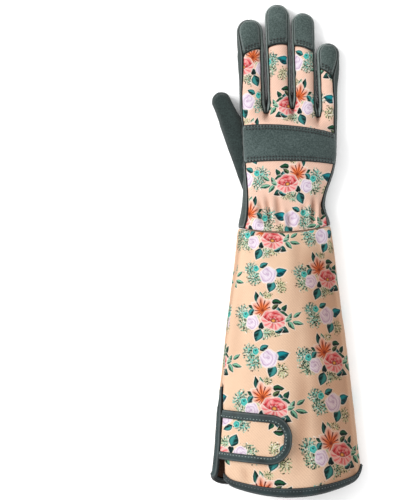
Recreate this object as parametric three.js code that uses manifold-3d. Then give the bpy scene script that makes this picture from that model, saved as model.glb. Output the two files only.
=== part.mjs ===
// A long rose pruning gauntlet for the right hand, lying on its palm with the back of the hand up.
// Millimetres: +X points away from the thumb, +Y towards the fingertips, +Z up.
// The shape is worked out from the middle of the wrist seam, and the finished glove is then
// centred over its own footprint. One skin is lofted over the whole glove, and each sewn piece
// is a stretch of that skin with its own wall thickness.
import * as THREE from "three";
import Module from "manifold-3d";

// Walls and clearances
const clothWall = 1.4;
const suedeWall = 1.3;
const tapeWall = 1.2;
const padThickness = 2.2;
const seamGap = 0.3;
const layGap = 0.3;
const capRaise = 0.5;

// Cuff
const cuffLength = 246.3;
const hemWidth = 145;
const hemHeight = 46;
const hemSag = 12;
const hemRise = 10;
const hemTape = 7;
const hemTapeAtSides = 4.2;
const slitLength = 93.5;
const slitTurnBack = 11.3;
const slitTape = 5;
const frontCorner = 4;

// Hand
const palmLength = 112;
const wristWidth = 91.3;
const wristHeight = 36;
const waistWidth = 81.3;
const palmHeight = 34;
const wristSag = 4.6;
const bandWidth = 37;
const seamInset = 3.1;
const webSlope = 14;

// Fingers
const forkGap = 2.2;
const tipGap = 1.1;
const tipShift = -1;
const fingerHeight = 20;
const tipHeight = 17.5;

// Thumb
const thumbLength = 112.7;
const thumbWidth = 20;
const thumbRoot = 34.6;
const thumbHeight = 16.5;
const thumbLean = 24;
const thumbRise = 29.5;
const thumbOut = 19;

// Strap
const strapLength = 68;
const strapWidth = 47.2;
const strapTape = 7.3;
const strapLean = -4.5;
const strapRise = 0.816;
const strapRound = 20.5;
const hookPatchLength = 18;
const hookPatchWidth = 20;

// How finely the skin is divided
const columnsPerFinger = 4;
const ribbonSteps = 4;

// length: web to tip. base, tip: widths. cap: length of the back cap at the middle of the finger.
// slant: how far the cap's edge leans over the finger. pad: length of the patch on the palm side.
// wrap: how much further the suede comes round the outer side at the tip than at the base.
const fingers = [
  { name: "index", length: 93.6, base: 25.3, tip: 27.0, cap: 33.6, slant: 3.5, pad: 30.2, wrap: 3.8 },
  { name: "middle", length: 104.8, base: 22.9, tip: 24.9, cap: 41.9, slant: 1.3, pad: 32.5, wrap: 0 },
  { name: "ring", length: 98.4, base: 22.1, tip: 23.3, cap: 36.4, slant: -3.0, pad: 33.5, wrap: 0 },
  { name: "little", length: 76.3, base: 18.5, tip: 23.6, cap: 31, slant: -4.5, pad: 26.5, wrap: 3.6 },
];
const thumb = {
  name: "thumb", length: thumbLength, base: thumbRoot, tip: thumbWidth, cap: 28, slant: 0, pad: 28, wrap: 0,
};
const palmWidth = fingers.reduce((sum, finger) => sum + finger.base, 3 * forkGap);
const tipsWidth = fingers.reduce((sum, finger) => sum + finger.tip, 3 * tipGap);

// Level of the web beside each finger, from the thumb side outwards, as a share of palmLength
const webLevels = [-0.016, 0, 0.041, -0.035, -0.09];

// Cross-sections of the body. at: distance from the wrist seam. centre: sideways shift.
// height: of the crown. widest: level of the widest point, as a share of the height.
// dome: how full the crown is. lift: clearance under the sole. near, far: from the outline in to
// the seam or slit edge on the thumb side and on the little-finger side.
const padLift = padThickness + layGap;
const tapeLift = tapeWall + 1.6 * layGap;
const slitTopWidth = hemWidth + (wristWidth - hemWidth) * 0.32;
const sections = [
  {
    at: -cuffLength, width: hemWidth, centre: -0.2,
    height: hemHeight, widest: 0.26, dome: 1.75, lift: tapeLift, near: slitTurnBack, far: 3.5,
  },
  {
    at: slitLength - cuffLength, width: slitTopWidth, centre: -1.3,
    height: hemHeight * 0.93, widest: 0.28, dome: 1.8, lift: 0, near: 2, far: 3.5,
  },
  {
    at: -0.3 * (cuffLength - slitLength), width: wristWidth + (slitTopWidth - wristWidth) * 0.3, centre: -2.3,
    height: wristHeight * 1.07, widest: 0.32, dome: 2, lift: 0, near: 3.5, far: 3.2,
  },
  {
    at: 0, width: wristWidth, centre: -2.8,
    height: wristHeight, widest: 0.34, dome: 2.1, lift: padLift * 0.2, near: 6, far: 3,
  },
  {
    at: palmLength * 0.21, width: waistWidth, centre: -3.4,
    height: palmHeight * 0.94, widest: 0.38, dome: 2.2, lift: padLift, near: 5, far: 2.5,
  },
  {
    at: palmLength * 0.56, width: palmWidth * 0.95, centre: 2.1,
    height: palmHeight, widest: 0.38, dome: 2.2, lift: padLift, near: 1.4, far: 1.8,
  },
  {
    at: palmLength * 0.88, width: palmWidth * 0.983, centre: 1.9,
    height: palmHeight * 0.88, widest: 0.38, dome: 2.2, lift: padLift, near: 1.4, far: 2.2,
  },
  {
    at: palmLength, width: palmWidth, centre: 1.75,
    height: palmHeight * 0.8, widest: 0.38, dome: 2.2, lift: padLift, near: 1.4, far: 3,
  },
];
const sole = 7;

// Lines across the body that rows of the skin follow. at: level at the two side seams,
// lean: how much higher the little-finger side is, sag: how much lower the middle hangs.
const bandLow = palmLength * 0.552;
const lines = {
  hem: { at: -cuffLength, lean: 1, sag: hemSag },
  wrist: { at: 0, lean: 1.4, sag: wristSag },
  bandLow: { at: bandLow, lean: -0.6, sag: -0.02 * palmLength },
  bandHigh: { at: bandLow + bandWidth * 0.915, lean: -4, sag: -0.03 * palmLength },
};

// Rows of the body from the hem up, each between two lines
const bodyRows = [
  ...[0, 0.08, 0.16, 0.26, slitLength / cuffLength, 0.5, 0.65, 0.8, 0.92].map((share) => ["hem", "wrist", share]),
  ...[0, 0.12, 0.24, 0.38, 0.56, 0.78].map((share) => ["wrist", "bandLow", share]),
  ...[0, 0.5].map((share) => ["bandLow", "bandHigh", share]),
  ...[0, 0.5, 1].map((share) => ["bandHigh", "fork", share]),
];
const slitRow = 4;
const wristRow = 9;
const bandLowRow = 15;
const bandHighRow = 17;
const forkRow = bodyRows.length - 1;

// Between two fingers the seams draw together to a narrow round bottom.
const forkPinch = (seamInset + forkGap / 2) * 0.5;
const forkBulge = seamInset * 0.35;

// Gathers at the elastic of the wrist. across: share of the half width. along: share of
// palmLength. wide, long: half sizes in millimetres. deep: height of the ridge or pucker.
const gathers = [
  { across: -0.72, along: 0.2, wide: 4.2, long: 15, deep: 1.2 },
  { across: -0.55, along: 0.26, wide: 4.0, long: 17, deep: -1.5 },
  { across: -0.36, along: 0.21, wide: 4.0, long: 15, deep: 1.4 },
  { across: -0.18, along: 0.24, wide: 4.2, long: 16, deep: -1.5 },
  { across: 0.02, along: 0.2, wide: 4.6, long: 14, deep: 1.1 },
  { across: 0.24, along: 0.25, wide: 4.4, long: 15, deep: -1.1 },
  { across: 0.46, along: 0.22, wide: 4.2, long: 15, deep: 1.2 },
  { across: 0.68, along: 0.26, wide: 4.2, long: 17, deep: -1.4 },
];

// The quilted pad under the palm. across: share of half the palm's width. along: share of palmLength.
const padOutline = [
  { across: -0.776, along: 1.067 },
  { across: -0.05, along: 1.084 },
  { across: 0.4, along: 1.0 },
  { across: 0.62, along: 1.025 },
  { across: 0.825, along: 0.922 },
  { across: 0.83, along: 0.64 },
  { across: 0.735, along: 0.4 },
  { across: 0.55, along: 0.295 },
  { across: 0.2, along: 0.255 },
  { across: -0.1, along: 0.23 },
  { across: -0.325, along: 0.29 },
  { across: -0.5, along: 0.41 },
  { across: -0.676, along: 0.63 },
  { across: -0.815, along: 0.85 },
  { across: -0.86, along: 0.96 },
];

const { lerp, clamp, degToRad, smoothstep } = THREE.MathUtils;
const vector = (x, y, z) => new THREE.Vector3(x, y, z);
const wasm = await Module();
wasm.setup();

// Colours, from the outside of each piece
const finishes = {
  floral: { color: 0xf2cdb2, roughness: 0.85, metalness: 0 },
  suede: { color: 0x66726e, roughness: 0.95, metalness: 0 },
  touch: { color: 0x14181b, roughness: 0.8, metalness: 0 },
  tape: { color: 0x3b4648, roughness: 0.7, metalness: 0 },
  hook: { color: 0x4a5457, roughness: 1, metalness: 0 },
};

// Smooth interpolation of one column of the table of sections
function sectionValue(key, at) {
  let low = 0;
  while (low < sections.length - 2 && at > sections[low + 1].at) low += 1;
  const [a, b] = [sections[low], sections[low + 1]];
  const before = sections[Math.max(low - 1, 0)];
  const after = sections[Math.min(low + 2, sections.length - 1)];
  const span = b.at - a.at;
  const t = clamp((at - a.at) / span, 0, 1);
  const slopeA = low === 0 ? (b[key] - a[key]) / span : (b[key] - before[key]) / (b.at - before.at);
  const slopeB = (after[key] - a[key]) / (after.at - a.at);
  return (
    a[key] * (1 + 2 * t) * (1 - t) ** 2 +
    slopeA * span * t * (1 - t) ** 2 +
    b[key] * t * t * (3 - 2 * t) -
    slopeB * span * t * t * (1 - t)
  );
}

// Height of the upper and the lower face at a share of the half width
const upperHeight = (share, s) =>
  s.widest + (s.height - s.widest) * (1 - Math.min(Math.abs(share), 1) ** s.dome) ** (1 / s.dome);
const lowerHeight = (share, s) =>
  s.widest - (s.widest - s.lift) * (1 - Math.min(Math.abs(share), 1) ** sole) ** (1 / sole);

function bodySection(at) {
  const names = ["width", "centre", "height", "widest", "dome", "lift", "near", "far"];
  const section = Object.fromEntries(names.map((name) => [name, sectionValue(name, at)]));
  section.half = section.width / 2;
  section.widest *= section.height;
  section.lift = Math.max(section.lift, 0);
  section.nearEdge = section.centre - section.half + section.near;
  section.farEdge = section.centre + section.half - section.far;
  return section;
}

// Places of the fingers side by side, at the web and at the tips
const knuckles = bodySection(palmLength);
let baseEdge = knuckles.centre - palmWidth / 2;
let tipEdge = knuckles.centre + tipShift - tipsWidth / 2;
fingers.forEach((finger, i) => {
  finger.baseX = baseEdge + finger.base / 2;
  finger.tipX = tipEdge + finger.tip / 2;
  finger.web = [webLevels[i] * palmLength, webLevels[i + 1] * palmLength];
  baseEdge += finger.base + forkGap;
  tipEdge += finger.tip + tipGap;
});

// A digit's insets from its outline to its seams. The outer side of the hand has its own.
function digitInsets(digit, along) {
  const outer = (base) => base + digit.wrap * smoothstep(along, 0.05, 0.62);
  return [digit.first ? outer(knuckles.near) : seamInset, digit.last ? outer(knuckles.far) : seamInset];
}
fingers[0].first = true;
fingers.at(-1).last = true;

// The columns of the body run on into the fingers: across is -1 at the thumb-side seam, 1 at the other.
const columns = fingers.flatMap((finger, f) =>
  Array.from({ length: columnsPerFinger + 1 }, (_, i) => {
    const share = i / columnsPerFinger;
    const [left, right] = digitInsets(finger, 0);
    const x = finger.baseX + lerp(left - finger.base / 2, finger.base / 2 - right, share);
    const across = (2 * (x - knuckles.nearEdge)) / (knuckles.farEdge - knuckles.nearEdge) - 1;
    const inner = (share === 0 && f > 0) || (share === 1 && f < fingers.length - 1);
    return { finger: f, share, x, across, web: lerp(finger.web[0], finger.web[1], share), inner };
  }),
);

// Level and nominal section of a row at a column. The palm side's web lies nearer the fingertips.
function lineLevel(name, column, palmSide) {
  if (name === "fork") return palmLength + column.web + (palmSide ? webSlope : 0);
  const line = lines[name];
  const sag = palmSide && name === "wrist" ? line.sag * 0.4 : line.sag;
  return line.at + line.lean * column.across - sag * (1 - column.across ** 2);
}
const lineSection = (name) => (name === "fork" ? palmLength : lines[name].at);

function gatherHeight(x, y) {
  const section = bodySection(y);
  return gathers.reduce((sum, g) => {
    const dx = (x - section.centre - g.across * section.half) / g.wide;
    const dy = (y - g.along * palmLength) / g.long;
    return sum + g.deep * Math.exp(-dx * dx - dy * dy);
  }, 0);
}

// One finger's cross-section at a share of the way from its base to its tip
function fingerSection(digit, share) {
  const height = lerp(digit.baseHeight ?? fingerHeight, digit.tipHeight ?? tipHeight, share);
  const width = lerp(digit.base, digit.tip, Math.min(share / 0.85, 1));
  return { half: width / 2, height, widest: height * 0.48, dome: 2.2, lift: 0 };
}

// Point of the body's skin on the upper or lower face
function bodyPoint(rowIndex, column, palmSide) {
  const [from, to, share] = bodyRows[rowIndex];
  const at = lerp(lineSection(from), lineSection(to), share);
  const section = bodySection(at);
  const pinch = rowIndex === forkRow && column.inner ? (column.share ? 1 : -1) * forkPinch : 0;
  const x = lerp(section.nearEdge, section.farEdge, (column.across + 1) / 2) + pinch;
  const y = lerp(lineLevel(from, column, palmSide), lineLevel(to, column, palmSide), share);
  const corner = rowIndex === 0 && column === columns[0] && !palmSide ? frontCorner : 0;
  const reach = (x - section.centre) / section.half;
  if (palmSide) return vector(x, y, lowerHeight(reach, section));
  const finger = fingers[column.finger];
  const base = fingerSection(finger, 0);
  const fingerReach = (column.x - finger.baseX) / base.half;
  const merge = smoothstep(at, lineSection("bandHigh"), palmLength);
  const z = lerp(upperHeight(reach, section), upperHeight(fingerReach, base), merge);
  return vector(x, y + corner, z + gatherHeight(x, y));
}

// Rows of a digit above its base. The first run to the cap's edge at the shares below, the next
// two to the shoulder, and the last turn round the tip by the angles below.
const stemShares = [0, 0.12, 0.4, 0.7, 1];
const tipAngles = [24, 46, 64, 76];
const capRow = stemShares.length - 1;
const straightRows = capRow + 2;
const digitRows = straightRows + tipAngles.length;

function digitPoint(digit, row, share, palmSide) {
  const lean = 2 * share - 1;
  const baseY = digit.baseY + lerp(digit.web[0], digit.web[1], share) + (palmSide ? digit.webSlope : 0);
  const tipY = digit.baseY + digit.webMiddle + digit.length;
  const radius = digit.tip / 2;
  const edge = tipY - (palmSide ? digit.pad : digit.cap - digit.slant * lean - 1.5 * (1 - lean * lean));
  const shoulder = tipY - radius;
  let y;
  let shrink = 1;
  if (row <= capRow) y = lerp(baseY, edge, stemShares[row]);
  else if (row <= straightRows) y = lerp(edge, shoulder, (row - capRow) / (straightRows - capRow));
  else {
    const angle = degToRad(tipAngles[row - straightRows - 1]);
    shrink = Math.cos(angle);
    y = shoulder + (radius - seamInset * (0.9 + 0.1 * lean * lean)) * Math.sin(angle);
  }
  const along = clamp((y - digit.baseY) / (tipY - digit.baseY), 0, 1);
  const section = fingerSection(digit, along);
  const [left, right] = digitInsets(digit, along);
  const offset = lerp(left - section.half, section.half - right, share);
  const reach = offset / section.half;
  const x = lerp(digit.baseX, digit.tipX, along) + offset * shrink;
  const thin = 0.45 + 0.55 * Math.sqrt(shrink);
  const face = palmSide ? lowerHeight(reach, section) : upperHeight(reach, section);
  const lift = (digit.baseLift ?? 0) * (1 - smoothstep(along, 0.1, 0.75));
  return vector(x, y, section.widest + (face - section.widest) * thin + (palmSide ? lift : 0));
}

// A skin is a list of points and of four-sided faces, each with the name of its piece.
class Skin {
  constructor() {
    this.points = [];
    this.faces = [];
  }

  add(point) {
    return this.points.push(point) - 1;
  }

  face(piece, ...corners) {
    this.faces.push({ piece, corners });
  }

  // Average of the face normals round each point, leaving out the open slit
  normals() {
    const sums = this.points.map(() => vector(0, 0, 0));
    for (const { corners } of this.faces.filter(({ piece }) => piece !== "slit")) {
      const [a, b, c, d] = corners.map((id) => this.points[id]);
      const normal = c.clone().sub(a).cross(d.clone().sub(b));
      corners.forEach((id) => sums[id].add(normal));
    }
    return sums.map((sum) => sum.normalize());
  }
}

// Rows of points on both faces of a digit, starting from the given base rows
function growDigit(skin, digit, baseUpper, baseLower, names) {
  const upper = [baseUpper];
  const lower = [baseLower];
  for (let row = 1; row <= digitRows; row += 1) {
    const ids = [false, true].map((palmSide) =>
      baseUpper.map((_, i) => skin.add(digitPoint(digit, row, i / columnsPerFinger, palmSide))),
    );
    upper.push(ids[0]);
    lower.push(ids[1]);
  }
  for (let row = 0; row < digitRows; row += 1)
    for (let i = 0; i < columnsPerFinger; i += 1) {
      const tip = row >= capRow;
      skin.face(tip ? names.cap : names.back, upper[row][i], upper[row][i + 1], upper[row + 1][i + 1], upper[row + 1][i]);
      skin.face(tip ? names.pad : names.palm, lower[row][i], lower[row + 1][i], lower[row + 1][i + 1], lower[row][i + 1]);
    }
  return { upper, lower };
}

// The digit's outline as pairs of points, one on each face: up one side, round the tip and down the other.
function digitOutline({ upper, lower }, digit) {
  const pair = (digitRow, i) => ({ upper: upper[digitRow][i], lower: lower[digitRow][i], digit, digitRow });
  const insetAt = (row, side) => {
    const { y } = digitPoint(digit, Math.max(row, 1), side, false);
    const inset = digitInsets(digit, (y - digit.baseY) / (digit.webMiddle + digit.length))[side];
    const round = row > straightRows ? Math.sin(degToRad(tipAngles[row - straightRows - 1])) ** 2 : 0;
    return lerp(inset, seamInset, round);
  };
  const outline = [];
  for (let row = 0; row <= digitRows; row += 1)
    outline.push({ ...pair(row, 0), inset: row === 0 && !digit.first ? forkBulge : insetAt(row, 0) });
  for (let i = 1; i < columnsPerFinger; i += 1) outline.push({ ...pair(digitRows, i), inset: seamInset });
  for (let row = digitRows; row >= 0; row -= 1)
    outline.push({
      ...pair(row, columnsPerFinger), inset: row === 0 && !digit.last ? forkBulge : insetAt(row, 1),
    });
  return outline;
}

// Side walls: a ribbon that bulges out between the two faces along an outline. Each pair of the
// outline holds its inset, and may hold the share of its first step and a rise along the glove.
function growRibbon(skin, outline, pieceOf) {
  outline.forEach((pair, k) => {
    const before = skin.points[outline[Math.max(k - 1, 0)].upper];
    const after = skin.points[outline[Math.min(k + 1, outline.length - 1)].upper];
    const outward = vector(before.y - after.y, after.x - before.x, 0).normalize();
    const { first = 1 / ribbonSteps, rise = () => 0 } = pair;
    pair.ids = [pair.upper];
    for (let step = 1; step < ribbonSteps; step += 1) {
      const share = first + ((1 - first) * (step - 1)) / (ribbonSteps - 1);
      const point = skin.points[pair.upper].clone().lerp(skin.points[pair.lower], share);
      point.addScaledVector(outward, pair.inset * Math.sin(Math.PI * share));
      point.y += rise(share);
      pair.ids.push(skin.add(point));
    }
    pair.ids.push(pair.lower);
  });
  for (let k = 0; k + 1 < outline.length; k += 1)
    for (let step = 0; step < ribbonSteps; step += 1) {
      const [a, b] = [outline[k].ids, outline[k + 1].ids];
      const piece = pieceOf(k, step);
      skin.face(piece, a[step], b[step], b[step + 1], a[step + 1]);
    }
}

// The patch of a digit's tip takes in the lower half of the side wall.
const isPadSide = (a, b, step) =>
  a.digit === b.digit && Math.min(a.digitRow ?? 0, b.digitRow ?? 0) >= capRow && step >= ribbonSteps / 2;

// Share of the side wall at which the slit's far edge lies: it opens towards the hem.
const slitShareAt = (row) => 0.12 + 0.14 * (1 - row / slitRow) ** 2;

function rowSection(row) {
  const [from, to, share] = bodyRows[row];
  return bodySection(lerp(lineSection(from), lineSection(to), share));
}

function makeGloveSkin() {
  const skin = new Skin();
  const grid = (palmSide) =>
    bodyRows.map((_, row) => columns.map((column) => skin.add(bodyPoint(row, column, palmSide))));
  const upper = grid(false);
  const lower = grid(true);
  for (let row = 0; row < forkRow; row += 1)
    for (let i = 0; i + 1 < columns.length; i += 1) {
      const hand = row >= wristRow;
      const band = row >= bandLowRow && row < bandHighRow;
      skin.face(hand ? (band ? "under_band" : "hand_back") : "cuff", upper[row][i], upper[row][i + 1], upper[row + 1][i + 1], upper[row + 1][i]);
      skin.face(hand ? "palm" : "cuff", lower[row][i], lower[row + 1][i], lower[row + 1][i + 1], lower[row][i + 1]);
    }

  // The hem turns up at the sides, and the slit's far edge is part of the way down the side wall.
  const riseAt = (row) => hemRise * (1 - bodyRows[row][2]) ** 4 * (row < wristRow ? 1 : 0);
  const nearPair = (row) => {
    const slit = row <= slitRow;
    const first = slit ? slitShareAt(row) : 1 / ribbonSteps;
    const reach = (share) => (slit ? Math.min((1 - share) / (1 - first), 1) / 2 : share);
    const rise = (share) => riseAt(row) * Math.sin(Math.PI * reach(share));
    return { upper: upper[row][0], lower: lower[row][0], row, side: "thumb", inset: rowSection(row).near, first, rise };
  };
  const farPair = (row) => {
    const rise = (share) => riseAt(row) * Math.sin(Math.PI * share);
    return { upper: upper[row].at(-1), lower: lower[row].at(-1), row, side: "little", inset: rowSection(row).far, rise };
  };
  const outline = [];
  for (let row = 0; row < forkRow; row += 1) outline.push(nearPair(row));
  const tips = [];
  fingers.forEach((finger, f) => {
    const own = columns.flatMap((column, i) => (column.finger === f ? [i] : []));
    Object.assign(finger, { baseY: palmLength, webMiddle: (finger.web[0] + finger.web[1]) / 2, webSlope });
    const grown = growDigit(
      skin,
      finger,
      own.map((i) => upper[forkRow][i]),
      own.map((i) => lower[forkRow][i]),
      { back: "hand_back", cap: `cap_${finger.name}`, palm: "palm", pad: `pad_${finger.name}` },
    );
    const pairs = digitOutline(grown, finger);
    tips.push(outline.length + digitRows + columnsPerFinger / 2);
    outline.push(...pairs.map((pair) => ({ ...pair, row: forkRow, side: "finger" })));
  });
  for (let row = forkRow - 1; row >= 0; row -= 1) outline.push(farPair(row));

  const forchettes = ["forchette_index", "forchette_middle", "forchette_ring"];
  const pieceOf = (k, step) => {
    const row = Math.min(outline[k].row, outline[k + 1].row);
    if (row < wristRow) return outline[k].side === "thumb" && row < slitRow && step === 0 ? "slit" : "cuff";
    if (isPadSide(outline[k], outline[k + 1], step)) return `pad_${outline[k].digit.name}`;
    if (k < tips[0] || k >= tips[3]) return "palm";
    return forchettes[tips.findLastIndex((tip) => k >= tip)];
  };
  growRibbon(skin, outline, pieceOf);
  return { skin, upper, lower, outline };
}

// Triangles from lists of corners, as a geometry with shared points
function geometryFrom(points, polygons) {
  const geometry = new THREE.BufferGeometry();
  geometry.setAttribute("position", new THREE.Float32BufferAttribute(points.flatMap((p) => [p.x, p.y, p.z]), 3));
  geometry.setIndex(polygons.flatMap((ids) => ids.slice(2).flatMap((id, i) => [ids[0], ids[i + 1], id])));
  geometry.computeVertexNormals();
  return geometry;
}

// A closed wall over some faces of a skin, from `raise` above the skin to `wall` below that.
// Its free edges are drawn back by half of `gap`, so that two pieces leave a seam between them.
function wallOver(skin, normals, faces, { raise = 0, wall, gap = seamGap }) {
  const used = [...new Set(faces.flatMap((face) => face.corners))];
  const order = new Map(used.map((id, i) => [id, i]));
  const edges = new Map();
  for (const { corners } of faces)
    corners.forEach((id, i) => edges.set(`${id}>${corners[(i + 1) % 4]}`, [id, corners[(i + 1) % 4]]));
  const rim = [...edges.values()].filter(([a, b]) => !edges.has(`${b}>${a}`));
  const shifts = new Map();
  for (const [a, b] of rim) {
    const along = skin.points[b].clone().sub(skin.points[a]).normalize();
    for (const id of [a, b]) {
      const inward = normals[id].clone().cross(along).normalize();
      shifts.set(id, [...(shifts.get(id) ?? []), inward]);
    }
  }
  const drawnBack = (id) => {
    const point = skin.points[id].clone();
    const inward = shifts.get(id);
    if (!inward) return point;
    const sum = inward.reduce((total, v) => total.add(v), vector(0, 0, 0));
    const spread = inward.length > 1 ? Math.max(1 + inward[0].dot(inward[1]), 0.5) : 1;
    return point.addScaledVector(sum, gap / 2 / spread);
  };
  const outer = used.map((id) => drawnBack(id).addScaledVector(normals[id], raise));
  const inner = used.map((id) => drawnBack(id).addScaledVector(normals[id], raise - wall));
  const n = used.length;
  const polygons = faces.flatMap(({ corners }) => {
    const ids = corners.map((id) => order.get(id));
    const [a, b, c, d] = ids.map((id) => id + n);
    return [ids, [a, c, b], [a, d, c]];
  });
  for (const [a, b] of rim) {
    const [i, j] = [order.get(a), order.get(b)];
    polygons.push([j, i, i + n, j + n]);
  }
  return geometryFrom([...outer, ...inner], polygons);
}

// A closed lump inside some faces of a skin, at an offset from it, with its openings capped flat
function lumpInside(skin, normals, faces, offset) {
  const used = [...new Set(faces.flatMap((face) => face.corners))];
  const order = new Map(used.map((id, i) => [id, i]));
  const points = used.map((id) => skin.points[id].clone().addScaledVector(normals[id], offset));
  const polygons = faces.map(({ corners }) => corners.map((id) => order.get(id)));
  const edges = new Set(polygons.flatMap((ids) => ids.map((id, i) => `${id}>${ids[(i + 1) % 4]}`)));
  const next = new Map();
  for (const edge of edges) {
    const [a, b] = edge.split(">").map(Number);
    if (!edges.has(`${b}>${a}`)) next.set(b, a);
  }
  const loop = [next.keys().next().value];
  while (loop.length < next.size) loop.push(next.get(loop.at(-1)));
  const middle = loop.reduce((sum, id) => sum.add(points[id]), vector(0, 0, 0)).divideScalar(loop.length);
  points.push(middle);
  loop.forEach((id, i) => polygons.push([points.length - 1, id, loop[(i + 1) % loop.length]]));
  return geometryFrom(points, polygons);
}

// Booleans on closed geometries with shared points
function toSolid(geometry) {
  const mesh = new wasm.Mesh({
    numProp: 3,
    vertProperties: new Float32Array(geometry.getAttribute("position").array),
    triVerts: new Uint32Array(geometry.index.array),
  });
  mesh.merge();
  return new wasm.Manifold(mesh);
}

function fromSolid(solid) {
  const largest = solid.decompose().reduce((a, b) => (a.volume() > b.volume() ? a : b));
  const { vertProperties, triVerts } = largest.getMesh();
  const geometry = new THREE.BufferGeometry();
  geometry.setAttribute("position", new THREE.Float32BufferAttribute(vertProperties, 3));
  geometry.setIndex([...triVerts]);
  geometry.computeVertexNormals();
  return geometry;
}

// Binding tape folded over a cloth edge. Each station has the edge's point on the cloth's outer face,
// the outward normal, the direction off the edge and the tape's reach from the edge.
function foldTape(stations, clothThickness) {
  const [over, under] = [layGap + tapeWall, -clothThickness - layGap - tapeWall];
  const profileAt = (reach) => [
    [over, -reach],
    [over, over],
    [under, over],
    [under, -reach],
    [under + tapeWall, -reach],
    [under + tapeWall, layGap],
    [layGap, layGap],
    [layGap, -reach],
  ];
  const points = stations.flatMap(({ point, normal, off, reach }) =>
    profileAt(reach).map(([up, out]) => point.clone().addScaledVector(normal, up).addScaledVector(off, out)),
  );
  const size = profileAt(0).length;
  const polygons = [];
  for (let k = 0; k + 1 < stations.length; k += 1)
    for (let i = 0; i < size; i += 1) {
      const j = (i + 1) % size;
      polygons.push([k * size + i, k * size + j, (k + 1) * size + j, (k + 1) * size + i]);
    }
  const last = (stations.length - 1) * size;
  for (const [a, b, c, d] of [[0, 1, 6, 7], [1, 2, 5, 6], [2, 3, 4, 5]]) {
    polygons.push([d, c, b, a]);
    polygons.push([a + last, b + last, c + last, d + last]);
  }
  return geometryFrom(points, polygons);
}

// A station at a skin's edge, next to one or two points further in
function edgeStation(skin, normals, edge, insides, reach) {
  const offs = insides.map((inside) => {
    const off = skin.points[edge].clone().sub(skin.points[inside]);
    return off.addScaledVector(normals[edge], -normals[edge].dot(off)).normalize();
  });
  const spread = offs.length > 1 ? 1 + offs[0].dot(offs[1]) : 1;
  const off = offs.reduce((sum, v) => sum.add(v), vector(0, 0, 0)).divideScalar(spread);
  return { point: skin.points[edge].clone(), normal: normals[edge].clone(), off, reach };
}

const glove = new THREE.Group();
function addPiece(name, finish, geometry) {
  const mesh = new THREE.Mesh(geometry, new THREE.MeshStandardMaterial(finishes[finish]));
  mesh.name = name;
  glove.add(mesh);
  return mesh;
}

// Body, fingers and forchettes
const { skin, upper, lower, outline } = makeGloveSkin();
const normals = skin.normals();
const facesOf = (...pieces) => skin.faces.filter((face) => pieces.includes(face.piece));

addPiece("cuff", "floral", wallOver(skin, normals, facesOf("cuff"), { wall: clothWall }));
addPiece("hand_back", "floral", wallOver(skin, normals, facesOf("hand_back", "under_band"), { wall: clothWall }));
addPiece(
  "knuckle_band",
  "suede",
  wallOver(skin, normals, facesOf("under_band"), { wall: suedeWall, raise: layGap + suedeWall, gap: 0 }),
);
for (const finger of fingers) {
  const cap = facesOf(`cap_${finger.name}`);
  addPiece(`cap_${finger.name}`, "suede", wallOver(skin, normals, cap, { wall: suedeWall + capRaise, raise: capRaise }));
  const pad = facesOf(`pad_${finger.name}`);
  const touch = finger.name === "index" || finger.name === "middle";
  addPiece(`${touch ? "touch_tip" : "tip_patch"}_${finger.name}`, touch ? "touch" : "suede", wallOver(skin, normals, pad, { wall: suedeWall }));
}
for (const name of ["forchette_index", "forchette_middle", "forchette_ring"])
  addPiece(name, "suede", wallOver(skin, normals, facesOf(name), { wall: suedeWall }));

// Thumb: a digit of its own, turned out from the hand and cut to meet its side
function makeThumbSkin() {
  const thumbSkin = new Skin();
  Object.assign(thumb, {
    baseX: 0, tipX: 0, baseY: 0, web: [0, 0], webMiddle: 0, webSlope: 0,
    first: false, last: false, baseHeight: thumbHeight, tipHeight, baseLift: 5,
  });
  const baseRow = (palmSide) =>
    Array.from({ length: columnsPerFinger + 1 }, (_, i) => thumbSkin.add(digitPoint(thumb, 0, i / columnsPerFinger, palmSide)));
  const names = { back: "thumb_back", cap: "thumb_back", palm: "thumb_front", pad: "touch_tip_thumb" };
  const grown = growDigit(thumbSkin, thumb, baseRow(false), baseRow(true), names);
  const side = digitOutline(grown, thumb).map((pair) => ({ ...pair, inset: seamInset }));
  growRibbon(thumbSkin, side, (k, step) => (isPadSide(side[k], side[k + 1], step) ? names.pad : names.back));
  const turn = new THREE.Matrix4()
    .makeRotationZ(degToRad(thumbLean))
    .setPosition(sectionValue("centre", 0.21 * palmLength) - thumbOut, thumbRise, 0);
  thumbSkin.points.forEach((point) => point.applyMatrix4(turn));
  return thumbSkin;
}
const thumbSkin = makeThumbSkin();
const thumbNormals = thumbSkin.normals();
const handFaces = skin.faces.filter(({ piece }) => piece !== "cuff" && piece !== "slit");
const handRoom = toSolid(lumpInside(skin, normals, handFaces, layGap));
const thumbRoom = toSolid(lumpInside(thumbSkin, thumbNormals, thumbSkin.faces, -suedeWall));
const palmWall = toSolid(wallOver(skin, normals, facesOf("palm"), { wall: suedeWall }));
addPiece("palm", "suede", fromSolid(palmWall.subtract(thumbRoom)));
for (const [name, finish] of [["thumb_back", "suede"], ["thumb_front", "suede"], ["touch_tip_thumb", "touch"]]) {
  const faces = thumbSkin.faces.filter((face) => face.piece === name);
  const wall = toSolid(wallOver(thumbSkin, thumbNormals, faces, { wall: suedeWall }));
  addPiece(name, finish, fromSolid(wall.subtract(handRoom)));
}

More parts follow.
